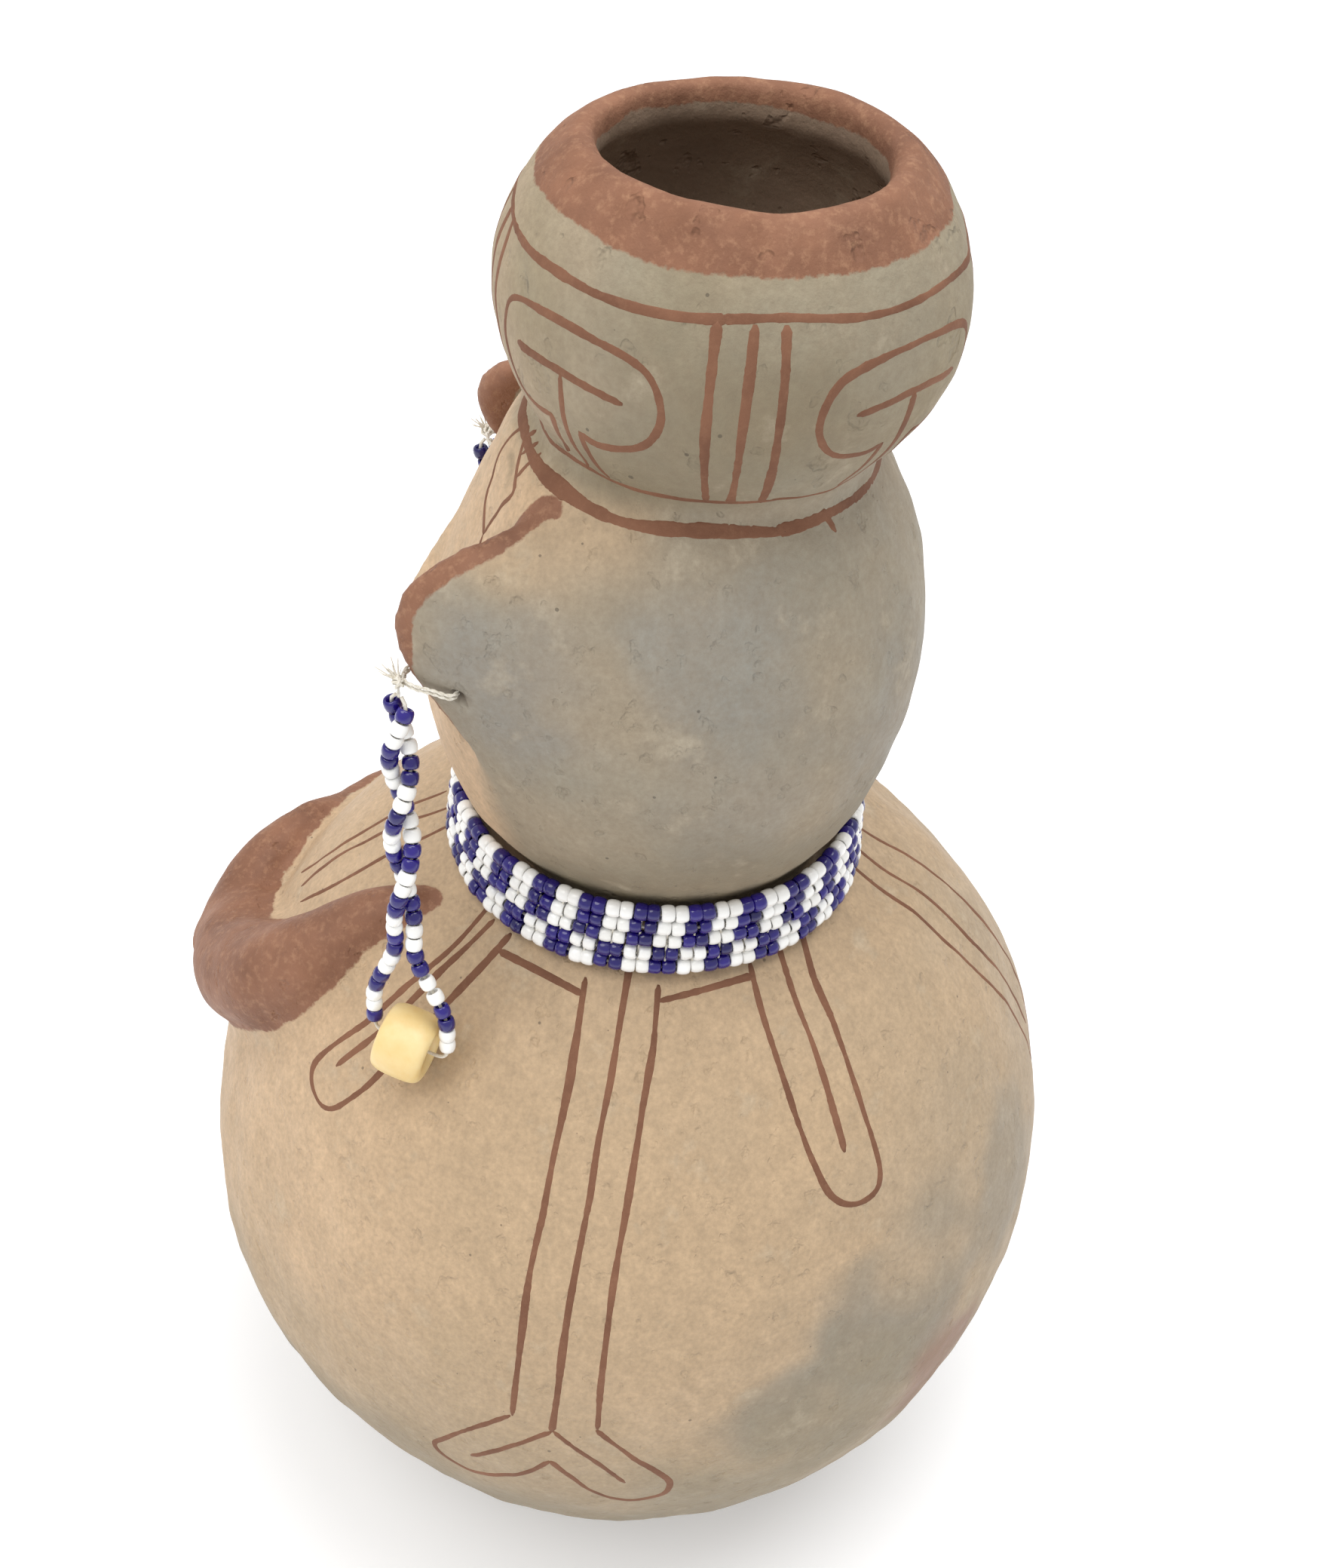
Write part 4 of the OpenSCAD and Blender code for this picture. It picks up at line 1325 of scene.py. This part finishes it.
def earring_beads(side):
    made = {True: [], False: []}
    for way in (-1, 1):
        for i in range(STRAND_BEADS):
            s = FIRST_BEAD + BEAD_STEP * i
            size = 1 + rng.normal(0, 0.02)
            p, f = bead_mesh(strand_point(s, way), strand_direction(s, way), BEAD_HOLE, BEAD_D / 2 * size,
                             1.6 * MM * (1 + rng.normal(0, 0.02)), power=2.1, spin=rng.uniform(0, 1))
            tint = float(np.clip(rng.normal(0.6, 0.25), 0, 1))
            blue = (i + (0 if way > 0 else 1)) % 4 < 2
            made[blue].append((sided(p, side), flipped(f, side), tint))
    pieces = []
    for blue in (False, True):
        word = "blue" if blue else "white"
        pieces.append(beads_piece(f"{hand(side)}_earring_{word}_beads", made[blue],
                                  BLUE_GLASS if blue else WHITE_GLASS,
                                  f"{hand(side)}_earring", [f"{hand(side)}_earring_{word}"]))
    return pieces


def pony_material():
    material, tree, shader = new_material("cream_glass")
    where = node(tree, "ShaderNodeTexCoord").outputs["Object"]
    swirl = noise_at(tree, where, 260, 4, 0.55)
    base = mixed(tree, ranged(tree, swirl, 0.3, 0.7, 0, 1), shade(240, 218, 164), shade(232, 200, 132))
    tree.links.new(base, shader.inputs["Base Color"])
    tree.links.new(ranged(tree, noise_at(tree, where, 900, 3), 0.3, 0.7, 0.28, 0.42),
                   shader.inputs["Roughness"])
    shader.inputs["Subsurface Weight"].default_value = 0.15
    shader.inputs["Subsurface Radius"].default_value = (0.002, 0.0015, 0.001)
    bumped(tree, noise_at(tree, where, 700, 4), 0.3, 0.0001, shader)
    return material


CREAM = pony_material()


def pony_bead(side):
    p, f = bead_mesh(PONY, PONY_AXIS, 1.9 * MM, 4.5 * MM, 6.5 * MM, around=56, ring=40, power=3.0)
    piece = make_piece(f"{hand(side)}_pony_bead_glass", sided(p, side), flipped(f, side), CREAM)
    return placed(piece, f"{hand(side)}_pony", [f"{hand(side)}_pony_bead"])


LOOP_PLY = 0.19 * MM
LOOP = [(23, -21.6, 159.1), (27.5, -21.6, 159.1), (27.3, -24.2, 159.1), (26.9, -26.4, 159.2),
        (25.9, -27.5, 159.2),
        (24.2, -27.5, 159.2), (22.9, -26.4, 159.1), (22.7, -24, 159.1)]


def twisted(path, radius, turns_per_mm, closed):
    """Two plies laid round each other along a path."""
    path = np.array(path)
    n = len(path)
    parts = []
    lengths = np.concatenate([[0], np.cumsum(np.linalg.norm(np.diff(path, axis=0), axis=1))])
    for ply in (0, 1):
        line = []
        for i in range(n):
            a = path[(i - 1) % n] if closed else path[max(0, i - 1)]
            b = path[(i + 1) % n] if closed else path[min(n - 1, i + 1)]
            d = unit(b - a)
            x = unit(np.cross((0, 0, 1) if abs(d[2]) < 0.95 else (0, 1, 0), d))
            y = np.cross(d, x)
            t = 2 * math.pi * turns_per_mm * lengths[i] / MM + math.pi * ply
            line.append(path[i] + radius * 0.45 * (math.cos(t) * x + math.sin(t) * y))
        parts.append(sweep(line, radius * 0.68, 8, closed=closed))
    return parts


def thread_piece(name, side, parts, stands_for):
    points, faces = joined(parts)
    piece = make_piece(f"{hand(side)}_{name}", sided(points, side), flipped(faces, side), THREAD)
    placed(piece, "jar", [f"{hand(side)}_{stands_for}"])


def ear_thread(side):
    """The doubled thread through the ear, and its knot with frayed ends."""
    parts = []
    for lift, out in ((-0.24, 0.0), (0.24, 0.12)):
        loop = [np.array([x, y - (out if y < -25 else 0), z + lift]) * MM for x, y, z in LOOP]
        parts += twisted(spline(loop, 14, closed=True), LOOP_PLY, 0.55, True)
    thread_piece("ear_thread", side, parts, "ear_loop")
    knot = []
    for tilt, size in ((0, 0.8), (55, 0.75), (-50, 0.7)):
        ring = []
        for a in np.linspace(0, 2 * math.pi, 26, endpoint=False):
            v = Vector((math.cos(a), 0.25 * math.sin(2 * a), math.sin(a) * 0.8)) * size * MM
            v = Matrix.Rotation(math.radians(tilt), 3, "X") @ Matrix.Rotation(math.radians(tilt * 0.7), 3,
                                                                              "Z") @ v
            ring.append(KNOT + np.array(v))
        knot += twisted(ring, LOOP_PLY, 0.5, True)
    draw = np.random.default_rng(50 + side)
    for k in range(14):
        bend = draw.normal(0, 0.45, 3)
        way = unit(np.array([-0.25, -0.75, 0.8]) + draw.normal(0, 0.28, 3))
        reach = draw.uniform(1.2, 2.6) * MM
        strand = [KNOT + way * reach * t + bend * t * t * 0.5 * MM for t in np.linspace(0.1, 1, 7)]
        knot.append(sweep(strand, np.linspace(0.11, 0.05, 7) * MM, 6))
    down = [KNOT, (KNOT + STRAND_TOP) / 2 + np.array([0.1, 0, 0]) * MM, STRAND_TOP + STRAND_AXIS * 0.2 * MM]
    knot += twisted(spline(down, 5), LOOP_PLY, 0.5, False)
    thread_piece("knot_thread", side, knot, "ear_knot")


for side in (1, -1):
    cord, route = earring_cord(side)
    beads = earring_beads(side)
    pony = pony_bead(side)
    ear_thread(side)


# ------------------------------------------------------------------ floor, light and colour
def make_stage():
    bpy.ops.mesh.primitive_plane_add(size=3.0, location=(0, 0, -0.0002))
    floor = bpy.context.object
    floor.name = "floor"
    material, _, shader = new_material("floor_paper")
    shader.inputs["Base Color"].default_value = (0.93, 0.93, 0.94, 1)
    shader.inputs["Roughness"].default_value = 0.9
    shader.inputs["Emission Color"].default_value = (1, 1, 1, 1)
    shader.inputs["Emission Strength"].default_value = 0.16
    floor.data.materials.append(material)


def area_light(name, at, size, power, colour=(1, 1, 1)):
    data = bpy.data.lights.new(name, "AREA")
    data.shape = "DISK"
    data.size = size
    data.energy = power
    data.color = colour
    light = bpy.data.objects.new(name, data)
    bpy.context.scene.collection.objects.link(light)
    light.location = at
    target = Vector((0, 0, 0.1))
    light.rotation_euler = (target - Vector(at)).to_track_quat("-Z", "Y").to_euler()


def make_light():
    world = bpy.data.worlds.new("studio")
    world.use_nodes = True
    world.node_tree.nodes["Background"].inputs["Color"].default_value = (1, 1, 1, 1)
    world.node_tree.nodes["Background"].inputs["Strength"].default_value = 0.72
    bpy.context.scene.world = world
    area_light("key", (0.35, -0.45, 1.1), 0.8, 5.0, (1.0, 0.99, 0.97))
    area_light("top", (-0.15, 0.2, 1.2), 0.9, 7.0)


make_stage()
make_light()
scene = bpy.context.scene
scene.view_settings.view_transform = "Standard"
scene.view_settings.look = "None"
